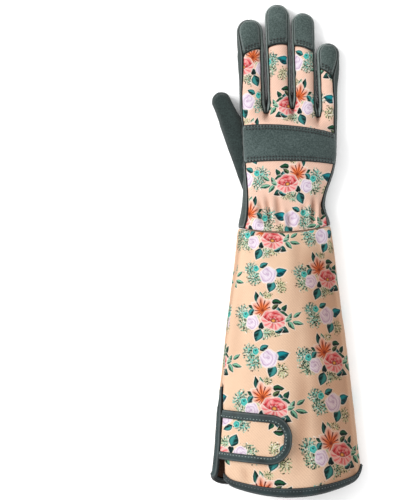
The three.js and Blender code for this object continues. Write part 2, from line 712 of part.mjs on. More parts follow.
// Quilted pad under the palm
function makePalmPad() {
  const place = ({ across, along }) => {
    const at = Math.min(along, 1) * palmLength;
    return new THREE.Vector2(bodySection(at).centre + (across * palmWidth) / 2, along * palmLength);
  };
  const shape = new THREE.Shape();
  const [start, ...rest] = [...padOutline, padOutline[0]].map(place);
  shape.moveTo(start.x, start.y);
  shape.splineThru(rest);
  const bevel = padThickness / 3;
  const geometry = new THREE.ExtrudeGeometry(shape, {
    depth: padThickness - bevel, bevelThickness: bevel / 2, bevelSize: bevel, bevelSegments: 1, curveSegments: 3,
  });
  geometry.translate(0, 0, bevel / 2);
  return geometry;
}
addPiece("palm_pad", "suede", makePalmPad());

// One tape binds the hem all round and runs on up the palm side of the slit.
function hemTapeStations() {
  const far = [outline.at(-1).ids, outline.at(-2).ids];
  const near = outline.slice(0, slitRow + 1).map(({ ids }) => ids);
  const middleReach = (id) => lerp(hemTape, hemTapeAtSides, Math.min(Math.abs(skin.points[id].x) / (hemWidth / 2), 1) ** 2);
  const hem = [
    ...upper[0].map((id, i) => [id, [upper[1][i]], middleReach(id)]),
    ...far[0].slice(1, -1).map((id, i) => [id, [far[1][i + 1]], hemTapeAtSides]),
    ...[...lower[0]].reverse().map((id, i) => [id, [lower[1].at(-1 - i)], middleReach(id)]),
    ...[3, 2].map((step) => [near[0][step], [near[1][step]], hemTapeAtSides]),
  ];
  const corner = [near[0][1], [near[1][1], near[0][2]], hemTapeAtSides];
  const facet = (ids) => 0.85 * skin.points[ids[1]].distanceTo(skin.points[ids[2]]);
  const slit = near.slice(1, slitRow).map((ids) => [ids[1], [ids[2]], Math.min(slitTape, facet(ids))]);
  const stations = [...hem, corner, ...slit].map(([edge, insides, reach]) =>
    edgeStation(skin, normals, edge, insides, reach),
  );
  const apex = near[slitRow];
  const top = edgeStation(skin, normals, apex[1], [apex[2]], Math.min(slitTape, facet(apex)));
  const below = stations.at(-1);
  const share = (tapeWall + 2 * layGap) / top.point.distanceTo(below.point);
  for (const key of ["point", "normal", "off"]) top[key].lerp(below[key], share);
  stations.push(top);
  return stations;
}
addPiece("hem_binding", "tape", foldTape(hemTapeStations(), clothWall));

// Height of the cuff's upper face at a place in plan, carried on down the round of its near side
function cuffTop(x, y) {
  const sag = hemSag * (1 - clamp(x / (hemWidth / 2), -1, 1) ** 2) * clamp(-y / cuffLength, 0, 1);
  const section = bodySection(y + sag);
  if (x >= section.nearEdge) return upperHeight((x - section.centre) / section.half, section);
  const share = Math.asin(clamp((section.nearEdge - x) / section.near, 0, 1)) / Math.PI;
  const reach = 1 - section.near / section.half;
  return lerp(upperHeight(reach, section), lowerHeight(reach, section), share);
}

// The strap: a tongue with a round end, from beside the slit's tape across the back of the cuff.
// Its grid has rows along its length.
const strapColumns = 6;
const strapStraight = 8;
const strapAngles = [22, 44, 62, 77];
const strapSection = bodySection(-cuffLength * strapRise);
const strapStart = strapSection.nearEdge - strapSection.near * Math.sin(0.17 * Math.PI) + tapeWall + 2 * layGap;
function strapPoint(along, across, height) {
  const turn = degToRad(strapLean);
  const x = strapStart + along * Math.cos(turn) - across * Math.sin(turn);
  const y = -cuffLength * strapRise + along * Math.sin(turn) + across * Math.cos(turn);
  const z = cuffTop(x, y);
  const steepness = Math.hypot(1, cuffTop(x + 0.5, y) - cuffTop(x - 0.5, y));
  return vector(x, y, z + (tapeWall + 2.5 * layGap + height) * Math.min(steepness, 2.5));
}

function makeStrapSkin() {
  const strapSkin = new Skin();
  const rows = [];
  for (let row = 0; row <= strapStraight; row += 1)
    rows.push({ along: (strapLength - strapRound) * (row / strapStraight) ** 1.5, shrink: 1 });
  for (const angle of strapAngles.map(degToRad))
    rows.push({ along: strapLength - strapRound + (strapRound - layGap - tapeWall) * Math.sin(angle), shrink: Math.cos(angle) });
  const half = strapWidth / 2 - layGap - tapeWall;
  const ids = rows.map(({ along, shrink }) =>
    Array.from({ length: strapColumns + 1 }, (_, i) => {
      const across = ((2 * i) / strapColumns - 1) * half * shrink;
      return strapSkin.add(strapPoint(along, across, clothWall));
    }),
  );
  for (let row = 0; row + 1 < ids.length; row += 1)
    for (let i = 0; i < strapColumns; i += 1)
      strapSkin.face("strap", ids[row][i], ids[row + 1][i], ids[row + 1][i + 1], ids[row][i + 1]);
  return { strapSkin, ids };
}
const { strapSkin, ids: strapIds } = makeStrapSkin();
const strapNormals = strapSkin.normals();
addPiece("strap", "floral", wallOver(strapSkin, strapNormals, strapSkin.faces, { wall: clothWall, gap: 0 }));

function strapTapeStations() {
  const last = strapIds.length - 1;
  const path = [
    ...strapIds.map((row) => row[0]),
    ...strapIds[last].slice(1, -1),
    ...[...strapIds].reverse().map((row) => row.at(-1)),
  ];
  return path.map((id, k) => {
    const before = strapSkin.points[path[Math.max(k - 1, 0)]];
    const after = strapSkin.points[path[Math.min(k + 1, path.length - 1)]];
    const along = after.clone().sub(before).normalize();
    const normal = strapNormals[id];
    const off = along.cross(normal).normalize();
    return { point: strapSkin.points[id].clone(), normal: normal.clone(), off, reach: strapTape - layGap - tapeWall };
  });
}
addPiece("strap_binding", "tape", foldTape(strapTapeStations(), clothWall));

// Hook patch that holds the strap's end to the cuff
function makeHookPatch() {
  const patch = new Skin();
  const middle = strapLength - strapRound - hookPatchLength / 4;
  const ids = [-1, -0.33, 0.33, 1].map((a) =>
    [-1, -0.5, 0, 0.5, 1].map((b) => {
      const point = strapPoint(middle + (a * hookPatchLength) / 2, (b * hookPatchWidth) / 2, 0);
      return patch.add(point.setZ(point.z - 2.5 * layGap));
    }),
  );
  for (let row = 0; row < 3; row += 1)
    for (let i = 0; i < 4; i += 1) patch.face("hook_patch", ids[row][i], ids[row + 1][i], ids[row + 1][i + 1], ids[row][i + 1]);
  return wallOver(patch, patch.normals(), patch.faces, { wall: tapeWall - layGap, gap: 0 });
}
addPiece("hook_patch", "hook", makeHookPatch());

// The origin is on the floor, under the middle of the glove.
const bounds = new THREE.Box3().setFromObject(glove);
glove.position.set(-(bounds.min.x + bounds.max.x) / 2, -(bounds.min.y + bounds.max.y) / 2, -bounds.min.z);

export default glove;
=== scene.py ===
"""Looks of a rose pruning gauntlet: the right-hand glove lies on its palm, back of the hand up.

The glove's skin is worked out from the same named sizes as the part's source, in millimetres from
the middle of the wrist seam, and is then moved to the model's own frame, in metres.
"""

import math
from functools import partialmethod

import bpy
import numpy as np
from mathutils import Matrix, Vector, noise
from mathutils.bvhtree import BVHTree


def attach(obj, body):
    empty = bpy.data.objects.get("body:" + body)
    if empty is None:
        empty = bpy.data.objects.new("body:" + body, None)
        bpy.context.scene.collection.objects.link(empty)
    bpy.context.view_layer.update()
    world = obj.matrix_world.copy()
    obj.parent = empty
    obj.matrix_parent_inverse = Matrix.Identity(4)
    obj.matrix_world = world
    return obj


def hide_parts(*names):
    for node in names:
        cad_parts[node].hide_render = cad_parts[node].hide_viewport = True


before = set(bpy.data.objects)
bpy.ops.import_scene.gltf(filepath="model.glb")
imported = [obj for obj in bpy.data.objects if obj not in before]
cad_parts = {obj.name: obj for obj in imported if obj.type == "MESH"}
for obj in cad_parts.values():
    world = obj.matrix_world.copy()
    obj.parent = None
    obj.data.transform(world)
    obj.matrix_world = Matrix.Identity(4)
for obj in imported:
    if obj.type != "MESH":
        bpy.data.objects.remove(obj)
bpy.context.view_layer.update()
bpy.ops.object.select_all(action="DESELECT")

# From the wrist frame in millimetres to the model's frame in metres
SHIFT = Vector((0.1887, 20.386, 0.0083))
MM = 0.001

# Walls and clearances
CLOTH_WALL = 1.4
SUEDE_WALL = 1.3
TAPE_WALL = 1.2
PAD_THICKNESS = 2.2
LAY_GAP = 0.3

# Cuff
CUFF_LENGTH = 246.3
HEM_WIDTH = 145
HEM_HEIGHT = 46
HEM_SAG = 12
HEM_RISE = 10
HEM_TAPE = 7
HEM_TAPE_AT_SIDES = 4.2
SLIT_LENGTH = 93.5
SLIT_TURN_BACK = 11.3
SLIT_TAPE = 5
FRONT_CORNER = 4

# Hand
PALM_LENGTH = 112
WRIST_WIDTH = 91.3
WRIST_HEIGHT = 36
WAIST_WIDTH = 81.3
PALM_HEIGHT = 34
WRIST_SAG = 4.6
BAND_WIDTH = 37
SEAM_INSET = 3.1
CAP_INSET = 1.9
CAP_RAISE = 0.35
WEB_SLOPE = 14

# Fingers and thumb
FORK_GAP = 2.2
TIP_GAP = 1.1
TIP_SHIFT = -1
FINGER_HEIGHT = 20
TIP_HEIGHT = 17.5
FINGERS = [
    dict(name="index", length=93.6, base=25.3, tip=27.0, cap=33.6, slant=3.5, pad=30.2, wrap=3.8),
    dict(name="middle", length=104.8, base=22.9, tip=24.9, cap=41.9, slant=1.3, pad=32.5, wrap=0),
    dict(name="ring", length=98.4, base=22.1, tip=23.3, cap=36.4, slant=-3.0, pad=33.5, wrap=0),
    dict(name="little", length=76.3, base=18.5, tip=23.6, cap=31, slant=-4.5, pad=26.5, wrap=3.6),
]
THUMB = dict(name="thumb", length=112.7, base=34.6, tip=20, cap=28, slant=0, pad=28, wrap=0)
THUMB_HEIGHT = 16.5
THUMB_LEAN = 24
THUMB_RISE = 29.5
THUMB_OUT = 19
THUMB_LIFT = 5
FORCHETTES = ["forchette_index", "forchette_middle", "forchette_ring"]
WEB_LEVELS = [-0.016, 0, 0.041, -0.035, -0.09]

# Strap
STRAP_LENGTH = 68
STRAP_WIDTH = 47.2
STRAP_TAPE = 7.3
STRAP_LEAN = -4.5
STRAP_RISE = 0.816
STRAP_ROUND = 20.5
HOOK_PATCH = (18, 20)

PALM_WIDTH = sum(f["base"] for f in FINGERS) + 3 * FORK_GAP
TIPS_WIDTH = sum(f["tip"] for f in FINGERS) + 3 * TIP_GAP
PAD_LIFT = PAD_THICKNESS + LAY_GAP
TAPE_LIFT = TAPE_WALL + 1.6 * LAY_GAP
STRAP_LIFT = 2.5 * LAY_GAP
SLIT_TOP_WIDTH = HEM_WIDTH + (WRIST_WIDTH - HEM_WIDTH) * 0.32
SECTION_KEYS = ["at", "width", "centre", "height", "widest", "dome", "lift", "near", "far"]
SECTIONS = [
    dict(zip(SECTION_KEYS, row))
    for row in [
        (-CUFF_LENGTH, HEM_WIDTH, -0.2, HEM_HEIGHT, 0.26, 1.75, TAPE_LIFT, SLIT_TURN_BACK, 3.5),
        (SLIT_LENGTH - CUFF_LENGTH, SLIT_TOP_WIDTH, -1.3, HEM_HEIGHT * 0.93, 0.28, 1.8, 0, 2, 3.5),
        (
            -0.3 * (CUFF_LENGTH - SLIT_LENGTH),
            WRIST_WIDTH + (SLIT_TOP_WIDTH - WRIST_WIDTH) * 0.3,
            -2.3, WRIST_HEIGHT * 1.07, 0.32, 2, 0, 3.5, 3.2,
        ),
        (0, WRIST_WIDTH, -2.8, WRIST_HEIGHT, 0.34, 2.1, PAD_LIFT * 0.2, 6, 3),
        (PALM_LENGTH * 0.21, WAIST_WIDTH, -3.4, PALM_HEIGHT * 0.94, 0.38, 2.2, PAD_LIFT, 5, 2.5),
        (PALM_LENGTH * 0.56, PALM_WIDTH * 0.95, 2.1, PALM_HEIGHT, 0.38, 2.2, PAD_LIFT, 1.4, 1.8),
        (
            PALM_LENGTH * 0.88, PALM_WIDTH * 0.983, 1.9, PALM_HEIGHT * 0.88, 0.38, 2.2,
            PAD_LIFT, 1.4, 2.2,
        ),
        (PALM_LENGTH, PALM_WIDTH, 1.75, PALM_HEIGHT * 0.8, 0.38, 2.2, PAD_LIFT, 1.4, 3),
    ]
]
SOLE = 7
BAND_LOW = PALM_LENGTH * 0.552
LINES = {
    "hem": (-CUFF_LENGTH, 1, HEM_SAG),
    "wrist": (0, 1.4, WRIST_SAG),
    "band_low": (BAND_LOW, -0.6, -0.02 * PALM_LENGTH),
    "band_high": (BAND_LOW + BAND_WIDTH * 0.915, -4, -0.03 * PALM_LENGTH),
}

# How far from a sewn edge its shade and its puckers reach
SEAM_REACH = 6
PUCKER_REACH = 5.5

# How finely the skin is divided
FINGER_COLUMNS = 10
GAP_COLUMNS = 3
RIBBON_STEPS = 10
SLIT_ROWS = 30
CUFF_ROWS = 74
BACK_ROWS = 28
BAND_ROWS = 14
FORK_ROWS = 16
STEM_ROWS = 26
TIP_ROWS = 4
TIP_ANGLES = [10, 20, 30, 40, 50, 60, 69, 76]


def lerp(a, b, t):
    return a + (b - a) * t


def clamp(value, low=0.0, high=1.0):
    return min(max(value, low), high)


def smooth(value, low, high):
    t = clamp((value - low) / (high - low))
    return t * t * (3 - 2 * t)


# The photograph's scale, for what is placed on the glove: millimetres to a pixel
PIXEL = 0.9736
ORIGIN_PX, ORIGIN_PY = 287.2, 251.5


def from_photo(px, py):
    """Place in the wrist frame, in millimetres, of a place in the photograph."""
    return (px - ORIGIN_PX) * PIXEL - SHIFT.x, (ORIGIN_PY - py) * PIXEL - SHIFT.y


def to_photo(x, y):
    return (x + SHIFT.x) / PIXEL + ORIGIN_PX, ORIGIN_PY - (y + SHIFT.y) / PIXEL


# ---------------------------------------------------------------- the glove's skin


def section_value(key, at):
    """A value of the cross-section at a distance from the wrist, on a smooth curve through the
    values of SECTIONS."""
    low = 0
    while low < len(SECTIONS) - 2 and at > SECTIONS[low + 1]["at"]:
        low += 1
    a, b = SECTIONS[low], SECTIONS[low + 1]
    before, after = SECTIONS[max(low - 1, 0)], SECTIONS[min(low + 2, len(SECTIONS) - 1)]
    span = b["at"] - a["at"]
    t = clamp((at - a["at"]) / span)
    slope_a = (b[key] - before[key]) / (b["at"] - before["at"]) if low else (b[key] - a[key]) / span
    slope_b = (after[key] - a[key]) / (after["at"] - a["at"])
    return (
        a[key] * (1 + 2 * t) * (1 - t) ** 2
        + slope_a * span * t * (1 - t) ** 2
        + b[key] * t * t * (3 - 2 * t)
        - slope_b * span * t * t * (1 - t)
    )


def body_section(at):
    s = {key: section_value(key, at) for key in SECTION_KEYS[1:]}
    s["half"] = s["width"] / 2
    s["widest"] *= s["height"]
    s["lift"] = max(s["lift"], 0)
    s["near_edge"] = s["centre"] - s["half"] + s["near"]
    s["far_edge"] = s["centre"] + s["half"] - s["far"]
    return s


def upper_height(share, s):
    full = (1 - min(abs(share), 1) ** s["dome"]) ** (1 / s["dome"])
    return s["widest"] + (s["height"] - s["widest"]) * full


def lower_height(share, s):
    full = (1 - min(abs(share), 1) ** SOLE) ** (1 / SOLE)
    return s["widest"] - (s["widest"] - s["lift"]) * full


def place_fingers():
    """Gives each digit the places of its base, tip and web, and returns the knuckles' section."""
    knuckles = body_section(PALM_LENGTH)
    base_edge = knuckles["centre"] - PALM_WIDTH / 2
    tip_edge = knuckles["centre"] + TIP_SHIFT - TIPS_WIDTH / 2
    for i, finger in enumerate(FINGERS):
        web = (WEB_LEVELS[i] * PALM_LENGTH, WEB_LEVELS[i + 1] * PALM_LENGTH)
        finger.update(
            base_x=base_edge + finger["base"] / 2, tip_x=tip_edge + finger["tip"] / 2,
            web=web, web_middle=sum(web) / 2, base_y=PALM_LENGTH, slope=WEB_SLOPE,
            first=i == 0, last=i == len(FINGERS) - 1, heights=(FINGER_HEIGHT, TIP_HEIGHT),
            lift=0, tip_inset=CAP_INSET,
        )
        base_edge += finger["base"] + FORK_GAP
        tip_edge += finger["tip"] + TIP_GAP
    THUMB.update(
        base_x=0, tip_x=0, web=(0, 0), web_middle=0, base_y=0, slope=0, first=False, last=False,
        heights=(THUMB_HEIGHT, TIP_HEIGHT), lift=THUMB_LIFT, tip_inset=SEAM_INSET,
    )
    return knuckles


KNUCKLES = place_fingers()


# How much further out than the rest each finger's two seams run, in mm
SEAM_SHIFTS = {"middle": (1.7, 1.1), "ring": (1.7, 2.0), "little": (0.5, 0)}


def digit_insets(digit, along):
    def outer(base, side_lean):
        cap = digit["cap"] - digit["slant"] * side_lean
        start = 1 - cap / (digit["web_middle"] + digit["length"])
        below_cap = base + digit["wrap"] * smooth(along, 0.05, 0.62)
        return lerp(below_cap, CAP_INSET, smooth(along, start - 0.02, start + 0.3))

    more_left, more_right = SEAM_SHIFTS.get(digit.get("name"), (0, 0))
    left = outer(KNUCKLES["near"], -1) if digit["first"] else SEAM_INSET - more_left
    right = outer(KNUCKLES["far"], 1) if digit["last"] else SEAM_INSET - more_right
    return left, right


def pinch_of(finger, share):
    """How far a place across a finger is drawn towards its middle beside a fork, from -1 to 1."""
    left = max(1 - 4 * share, 0) * (not finger["first"])
    return max(4 * share - 3, 0) * (not finger["last"]) - left


def make_columns():
    """Columns across the body. Those in the gaps between two fingers end at the web."""
    made = []
    near, far = KNUCKLES["near_edge"], KNUCKLES["far_edge"]
    for f, finger in enumerate(FINGERS):
        left, right = digit_insets(finger, 0)
        x0 = finger["base_x"] - finger["base"] / 2 + left
        x1 = finger["base_x"] + finger["base"] / 2 - right
        if f:
            before = made[-1]["x"]
            for g in range(1, GAP_COLUMNS + 1):
                x = lerp(before, x0, g / (GAP_COLUMNS + 1))
                made.append(dict(finger=f, share=0, x=x, web=finger["web"][0], gap=True, pinch=0))
        for share in (i / FINGER_COLUMNS for i in range(FINGER_COLUMNS + 1)):
            place = dict(x=lerp(x0, x1, share), web=lerp(*finger["web"], share))
            made.append(dict(place, finger=f, share=share, gap=False, pinch=pinch_of(finger, share)))
    for column in made:
        column["across"] = 2 * (column["x"] - near) / (far - near) - 1
    return made


COLUMNS = make_columns()
FORK_PINCH = (SEAM_INSET + FORK_GAP / 2) * 0.5
FORK_BULGE = SEAM_INSET * 0.35


def make_rows():
    slit_share = SLIT_LENGTH / CUFF_LENGTH
    rows = [("hem", "wrist", slit_share * i / SLIT_ROWS) for i in range(SLIT_ROWS)]
    rest = CUFF_ROWS - SLIT_ROWS
    rows += [("hem", "wrist", lerp(slit_share, 1, i / rest)) for i in range(rest)]
    rows += [("wrist", "band_low", i / BACK_ROWS) for i in range(BACK_ROWS)]
    rows += [("band_low", "band_high", i / BAND_ROWS) for i in range(BAND_ROWS)]
    rows += [("band_high", "fork", i / FORK_ROWS) for i in range(FORK_ROWS + 1)]
    return rows


ROWS = make_rows()
WRIST_ROW = CUFF_ROWS
BAND_LOW_ROW = WRIST_ROW + BACK_ROWS
BAND_HIGH_ROW = BAND_LOW_ROW + BAND_ROWS
FORK_ROW = len(ROWS) - 1


def line_level(name, column, palm_side):
    if name == "fork":
        return PALM_LENGTH + column["web"] + (WEB_SLOPE if palm_side else 0)
    at, lean, sag = LINES[name]
    if palm_side and name == "wrist":
        sag *= 0.4
    return at + lean * column["across"] - sag * (1 - column["across"] ** 2)


def line_section(name):
    return PALM_LENGTH if name == "fork" else LINES[name][0]


# Folds, by place in the photograph: two ends, half width and height in millimetres
GATHERS = [
    (258, 206, 262, 226, 2.2, -1.7),
    (254.5, 212, 256, 228, 1.9, 1),
    (266, 203, 270, 226, 2.2, -1.5),
    (270.5, 210, 275.5, 229, 1.9, 1.2),
    (276, 200, 279, 222, 2.2, -1.3),
    (283.5, 214, 284, 230, 1.9, 0.9),
    (288, 216, 289, 231, 2, -1.2),
    (296, 220, 297, 231, 2, 0.8),
    (303, 210, 304, 229, 2, -1),
    (309, 207, 308, 228, 1.9, 1),
    (313.5, 203, 312, 226, 2.2, -1.6),
    (318, 209, 317, 227, 1.7, 1),
    (322, 205, 321, 225, 2, -1.5),
    (327, 209, 325, 226, 1.7, 1),
    (332, 199, 329, 223, 2, -1.4),
    (245, 213, 246, 227, 1.9, -0.9),
]
CUFF_FOLDS = [
    (297, 236, 300, 300, 7, -0.8),
    (303, 380, 299, 462, 9, -1.3),
    (292, 300, 296, 380, 10, -0.5),
    (312, 250, 326, 330, 6, 0.5),
    (262, 240, 250, 330, 9, 0.6),
    (240, 300, 233, 372, 7, -0.5),
    (272, 236, 271, 262, 4, -0.5),
    (254, 236, 251, 258, 4, -0.5),
    (318, 236, 321, 262, 5, -0.6),
    (243, 470, 246, 482, 3.5, -0.8),
    (330, 400, 346, 470, 8, 0.6),
]


# Unevenness of the cloth: height and size of the waves in millimetres, and their seed
CUFF_WAVES = [(0.7, 34, 3.1), (0.35, 15, 8.4)]
HAND_WAVES = [(0.35, 14, 5.7), (0.18, 6, 1.3)]

# How strongly the listed folds stand out
GATHER_DEPTH = 1.8
FOLD_DEPTH = 1.5

# How far the cuff drops towards the little finger's side, and the slit's corner on the palm side
LEAN_DROP = 2.6
CORNER_DROP = Vector((-0.6, -6.5, 0))

# Height below which the skin stays flat, and the shade of the cuff's folded sides from the top down
SOLE_TOP = 4
SIDE_SHADES = (0.25, 0.7, 0.7, 0.5, 0.2)


def fold_height(x, y, folds):
    px, py = to_photo(x, y)
    height = 0.0
    for x0, y0, x1, y1, wide, deep in folds:
        if abs(px - (x0 + x1) / 2) > 4 * wide + abs(x1 - x0) or not y0 - 18 < py < y1 + 18:
            continue
        t = (py - y0) / (y1 - y0)
        across = (px - lerp(x0, x1, t)) * PIXEL / wide
        end = smooth(t, -0.35, 0.3) * (1 - smooth(t, 0.75, 1.3))
        height += deep * math.exp(-across * across) * end
    return height


def soft_noise(x, y, z, size, seed):
    return noise.noise(Vector((x / size + seed, y / size, z / size)))


def finger_section(digit, share):
    height = lerp(digit["heights"][0], digit["heights"][1], share)
    width = lerp(digit["base"], digit["tip"], min(share / 0.85, 1))
    return dict(half=width / 2, height=height, widest=height * 0.48, dome=2.2, lift=0)


def body_point(row, column, palm_side):
    start, end, share = ROWS[row]
    at = lerp(line_section(start), line_section(end), share)
    s = body_section(at)
    near_fork = clamp(2 * share - 1) if end == "fork" else 0
    x = lerp(s["near_edge"], s["far_edge"], (column["across"] + 1) / 2)
    x += column["pinch"] * FORK_PINCH * near_fork
    if column["gap"]:
        middle = lerp(s["near_edge"], s["far_edge"], (gap_middle(column) + 1) / 2)
        x = lerp(x, middle + (x - middle) * 0.5, near_fork)
    y = lerp(line_level(start, column, palm_side), line_level(end, column, palm_side), share)
    corner = 0
    if not palm_side and row < 3:
        corner = FRONT_CORNER * (1 - row / 3) * max(1 - 12 * (column["across"] + 1), 0)
    reach = (x - s["centre"]) / s["half"]
    if palm_side:
        return (x, y, lower_height(reach, s))
    finger = FINGERS[column["finger"]]
    base = finger_section(finger, 0)
    finger_reach = (column["x"] - finger["base_x"]) / base["half"]
    merge = smooth(at, line_section("band_high"), PALM_LENGTH)
    z = lerp(upper_height(reach, s), upper_height(finger_reach, base), merge)
    return (x, y + corner, z)


def gap_middle(column):
    f = column["finger"]
    edges = [c["across"] for c in COLUMNS if not c["gap"] and (
        (c["finger"] == f and c["share"] == 0) or (c["finger"] == f - 1 and c["share"] == 1))]
    return sum(edges) / 2


def digit_levels(digit, side_lean, palm_side):
    tip_y = digit["base_y"] + digit["web_middle"] + digit["length"]
    radius = digit["tip"] / 2
    if palm_side:
        edge = tip_y - digit["pad"]
    else:
        edge = tip_y - (digit["cap"] - digit["slant"] * side_lean - 1.5 * (1 - side_lean**2))
    return edge, tip_y - radius, tip_y, radius


CAP_ROW = STEM_ROWS
STRAIGHT_ROWS = CAP_ROW + TIP_ROWS
DIGIT_ROWS = STRAIGHT_ROWS + len(TIP_ANGLES)


def digit_point(digit, row, share, palm_side):
    lean = 2 * share - 1
    base_y = digit["base_y"] + lerp(*digit["web"], share) + (digit["slope"] if palm_side else 0)
    edge, shoulder, tip_y, radius = digit_levels(digit, lean, palm_side)
    shrink = 1.0
    if row <= CAP_ROW:
        y = lerp(base_y, edge, row / CAP_ROW)
    elif row <= STRAIGHT_ROWS:
        y = lerp(edge, shoulder, (row - CAP_ROW) / TIP_ROWS)
    else:
        angle = math.radians(TIP_ANGLES[row - STRAIGHT_ROWS - 1])
        shrink = math.cos(angle)
        inset = digit["tip_inset"] * (0.9 + 0.1 * lean * lean)
        y = shoulder + (radius - inset) * math.sin(angle)
    along = clamp((y - digit["base_y"]) / (tip_y - digit["base_y"]))
    s = finger_section(digit, along)
    left, right = digit_insets(digit, along)
    offset = lerp(left - s["half"], s["half"] - right, share)
    reach = offset / s["half"]
    x = lerp(digit["base_x"], digit["tip_x"], along) + offset * shrink
    if digit is not THUMB:
        x += pinch_of(digit, share) * FORK_PINCH * clamp(1 - (y - base_y) / 8)
    thin = 0.45 + 0.55 * math.sqrt(shrink)
    face = lower_height(reach, s) if palm_side else upper_height(reach, s)
    lift = digit["lift"] * (1 - smooth(along, 0.1, 0.75)) if palm_side else 0
    return (x, y, s["widest"] + (face - s["widest"]) * thin + lift)


class Skin:
    """Points of the skin, and four-sided faces with the name of their piece and their own UVs."""

    def __init__(self):
        self.points = []
        self.flat = []
        self.faces = []
        # How much painted shade each point gets, in its folds and on the cuff's sides
        self.crease = {}

    def add(self, point, flat=(0, 0)):
        self.points.append(Vector(point))
        self.flat.append(flat)
        return len(self.points) - 1

    def face(self, piece, corners):
        self.faces.append((piece, tuple(corners), None))

    def pair(self, upper, lower, row, i, top, bottom):
        """A face of the upper side and the one under it."""
        a, b = upper[row], upper[row + 1]
        self.face(top, (a[i], a[i + 1], b[i + 1], b[i]))
        a, b = lower[row], lower[row + 1]
        self.face(bottom, (a[i], b[i], b[i + 1], a[i + 1]))

    def grid(self, piece, rows):
        """Faces between neighbouring rows of points."""
        for a, b in zip(rows, rows[1:]):
            for i in range(len(a) - 1):
                self.face(piece, (a[i], b[i], b[i + 1], a[i + 1]))

    def normals(self):
        sums = [Vector() for _ in self.points]
        for piece, (a, b, c, d), _ in self.faces:
            if piece == "slit":
                continue
            p = self.points
            normal = (p[c] - p[a]).cross(p[d] - p[b])
            for i in (a, b, c, d):
                sums[i] += normal
        return [n.normalized() for n in sums]


def grow_digit(skin, digit, base_upper, base_lower, names):
    upper, lower = [base_upper], [base_lower]
    shares = [i / FINGER_COLUMNS for i in range(FINGER_COLUMNS + 1)]
    for row in range(1, DIGIT_ROWS + 1):
        for grid, palm_side in ((upper, False), (lower, True)):
            grid.append([skin.add(digit_point(digit, row, share, palm_side)) for share in shares])
    for row in range(DIGIT_ROWS):
        top, bottom = ("cap", "pad") if row >= CAP_ROW else ("back", "palm")
        for i in range(FINGER_COLUMNS):
            skin.pair(upper, lower, row, i, names[top], names[bottom])
    return upper, lower


def digit_outline(upper, lower, digit):
    """Pairs of points of the two sides along the digit's edge, with the room for its side wall."""

    def inset_at(row, side):
        y = digit_point(digit, row, side, False)[1]
        along = (y - digit["base_y"]) / (digit["web_middle"] + digit["length"])
        round_off = 0
        if row > STRAIGHT_ROWS:
            round_off = math.sin(math.radians(TIP_ANGLES[row - STRAIGHT_ROWS - 1])) ** 2
        inset = lerp(digit_insets(digit, along)[side], digit["tip_inset"], round_off)
        outer = digit["last"] if side else digit["first"]
        if digit is not THUMB and not outer:
            base = digit["base_y"] + digit["web"][side]
            inset = lerp(FORK_BULGE, inset, smooth(y - base, -2, 8))
        return inset

    def pair(row, i, inset):
        ends = dict(upper=upper[row][i], lower=lower[row][i])
        return dict(ends, digit=digit, digit_row=row, inset=inset)

    n = FINGER_COLUMNS
    outline = [pair(row, 0, inset_at(row, 0)) for row in range(DIGIT_ROWS + 1)]
    outline += [pair(DIGIT_ROWS, i, digit["tip_inset"]) for i in range(1, n)]
    outline += [pair(row, n, inset_at(row, 1)) for row in range(DIGIT_ROWS, -1, -1)]
    return outline


def grow_ribbon(skin, outline, piece_of):
    for k, pair in enumerate(outline):
        before = skin.points[outline[max(k - 1, 0)]["upper"]]
        after = skin.points[outline[min(k + 1, len(outline) - 1)]["upper"]]
        outward = Vector((before.y - after.y, after.x - before.x, 0)).normalized()
        first = pair.get("first", 1 / RIBBON_STEPS)
        top, bottom = skin.points[pair["upper"]], skin.points[pair["lower"]]
        pair["ids"] = [pair["upper"]]
        pair["shares"] = [0.0]
        for step in range(1, RIBBON_STEPS):
            share = first + (1 - first) * (step - 1) / (RIBBON_STEPS - 1)
            point = top.lerp(bottom, share) + outward * pair["inset"] * math.sin(math.pi * share)
            if "rise" in pair:
                point.y += pair["rise"](share)
            pair["ids"].append(skin.add(point))
            pair["shares"].append(share)
        pair["ids"].append(pair["lower"])
        pair["shares"].append(1.0)
    for k in range(len(outline) - 1):
        a, b = outline[k]["ids"], outline[k + 1]["ids"]
        for step in range(RIBBON_STEPS):
            skin.face(piece_of(k, step), (a[step], b[step], b[step + 1], a[step + 1]))


def is_pad_side(a, b, step):
    same = a.get("digit") is b.get("digit") and a.get("digit") is not None
    return same and min(a["digit_row"], b["digit_row"]) >= CAP_ROW and step >= RIBBON_STEPS / 2


def slit_share_at(row):
    return 0.12 + 0.14 * (1 - row / SLIT_ROWS) ** 2


def row_section(row):
    start, end, share = ROWS[row]
    return body_section(lerp(line_section(start), line_section(end), share))


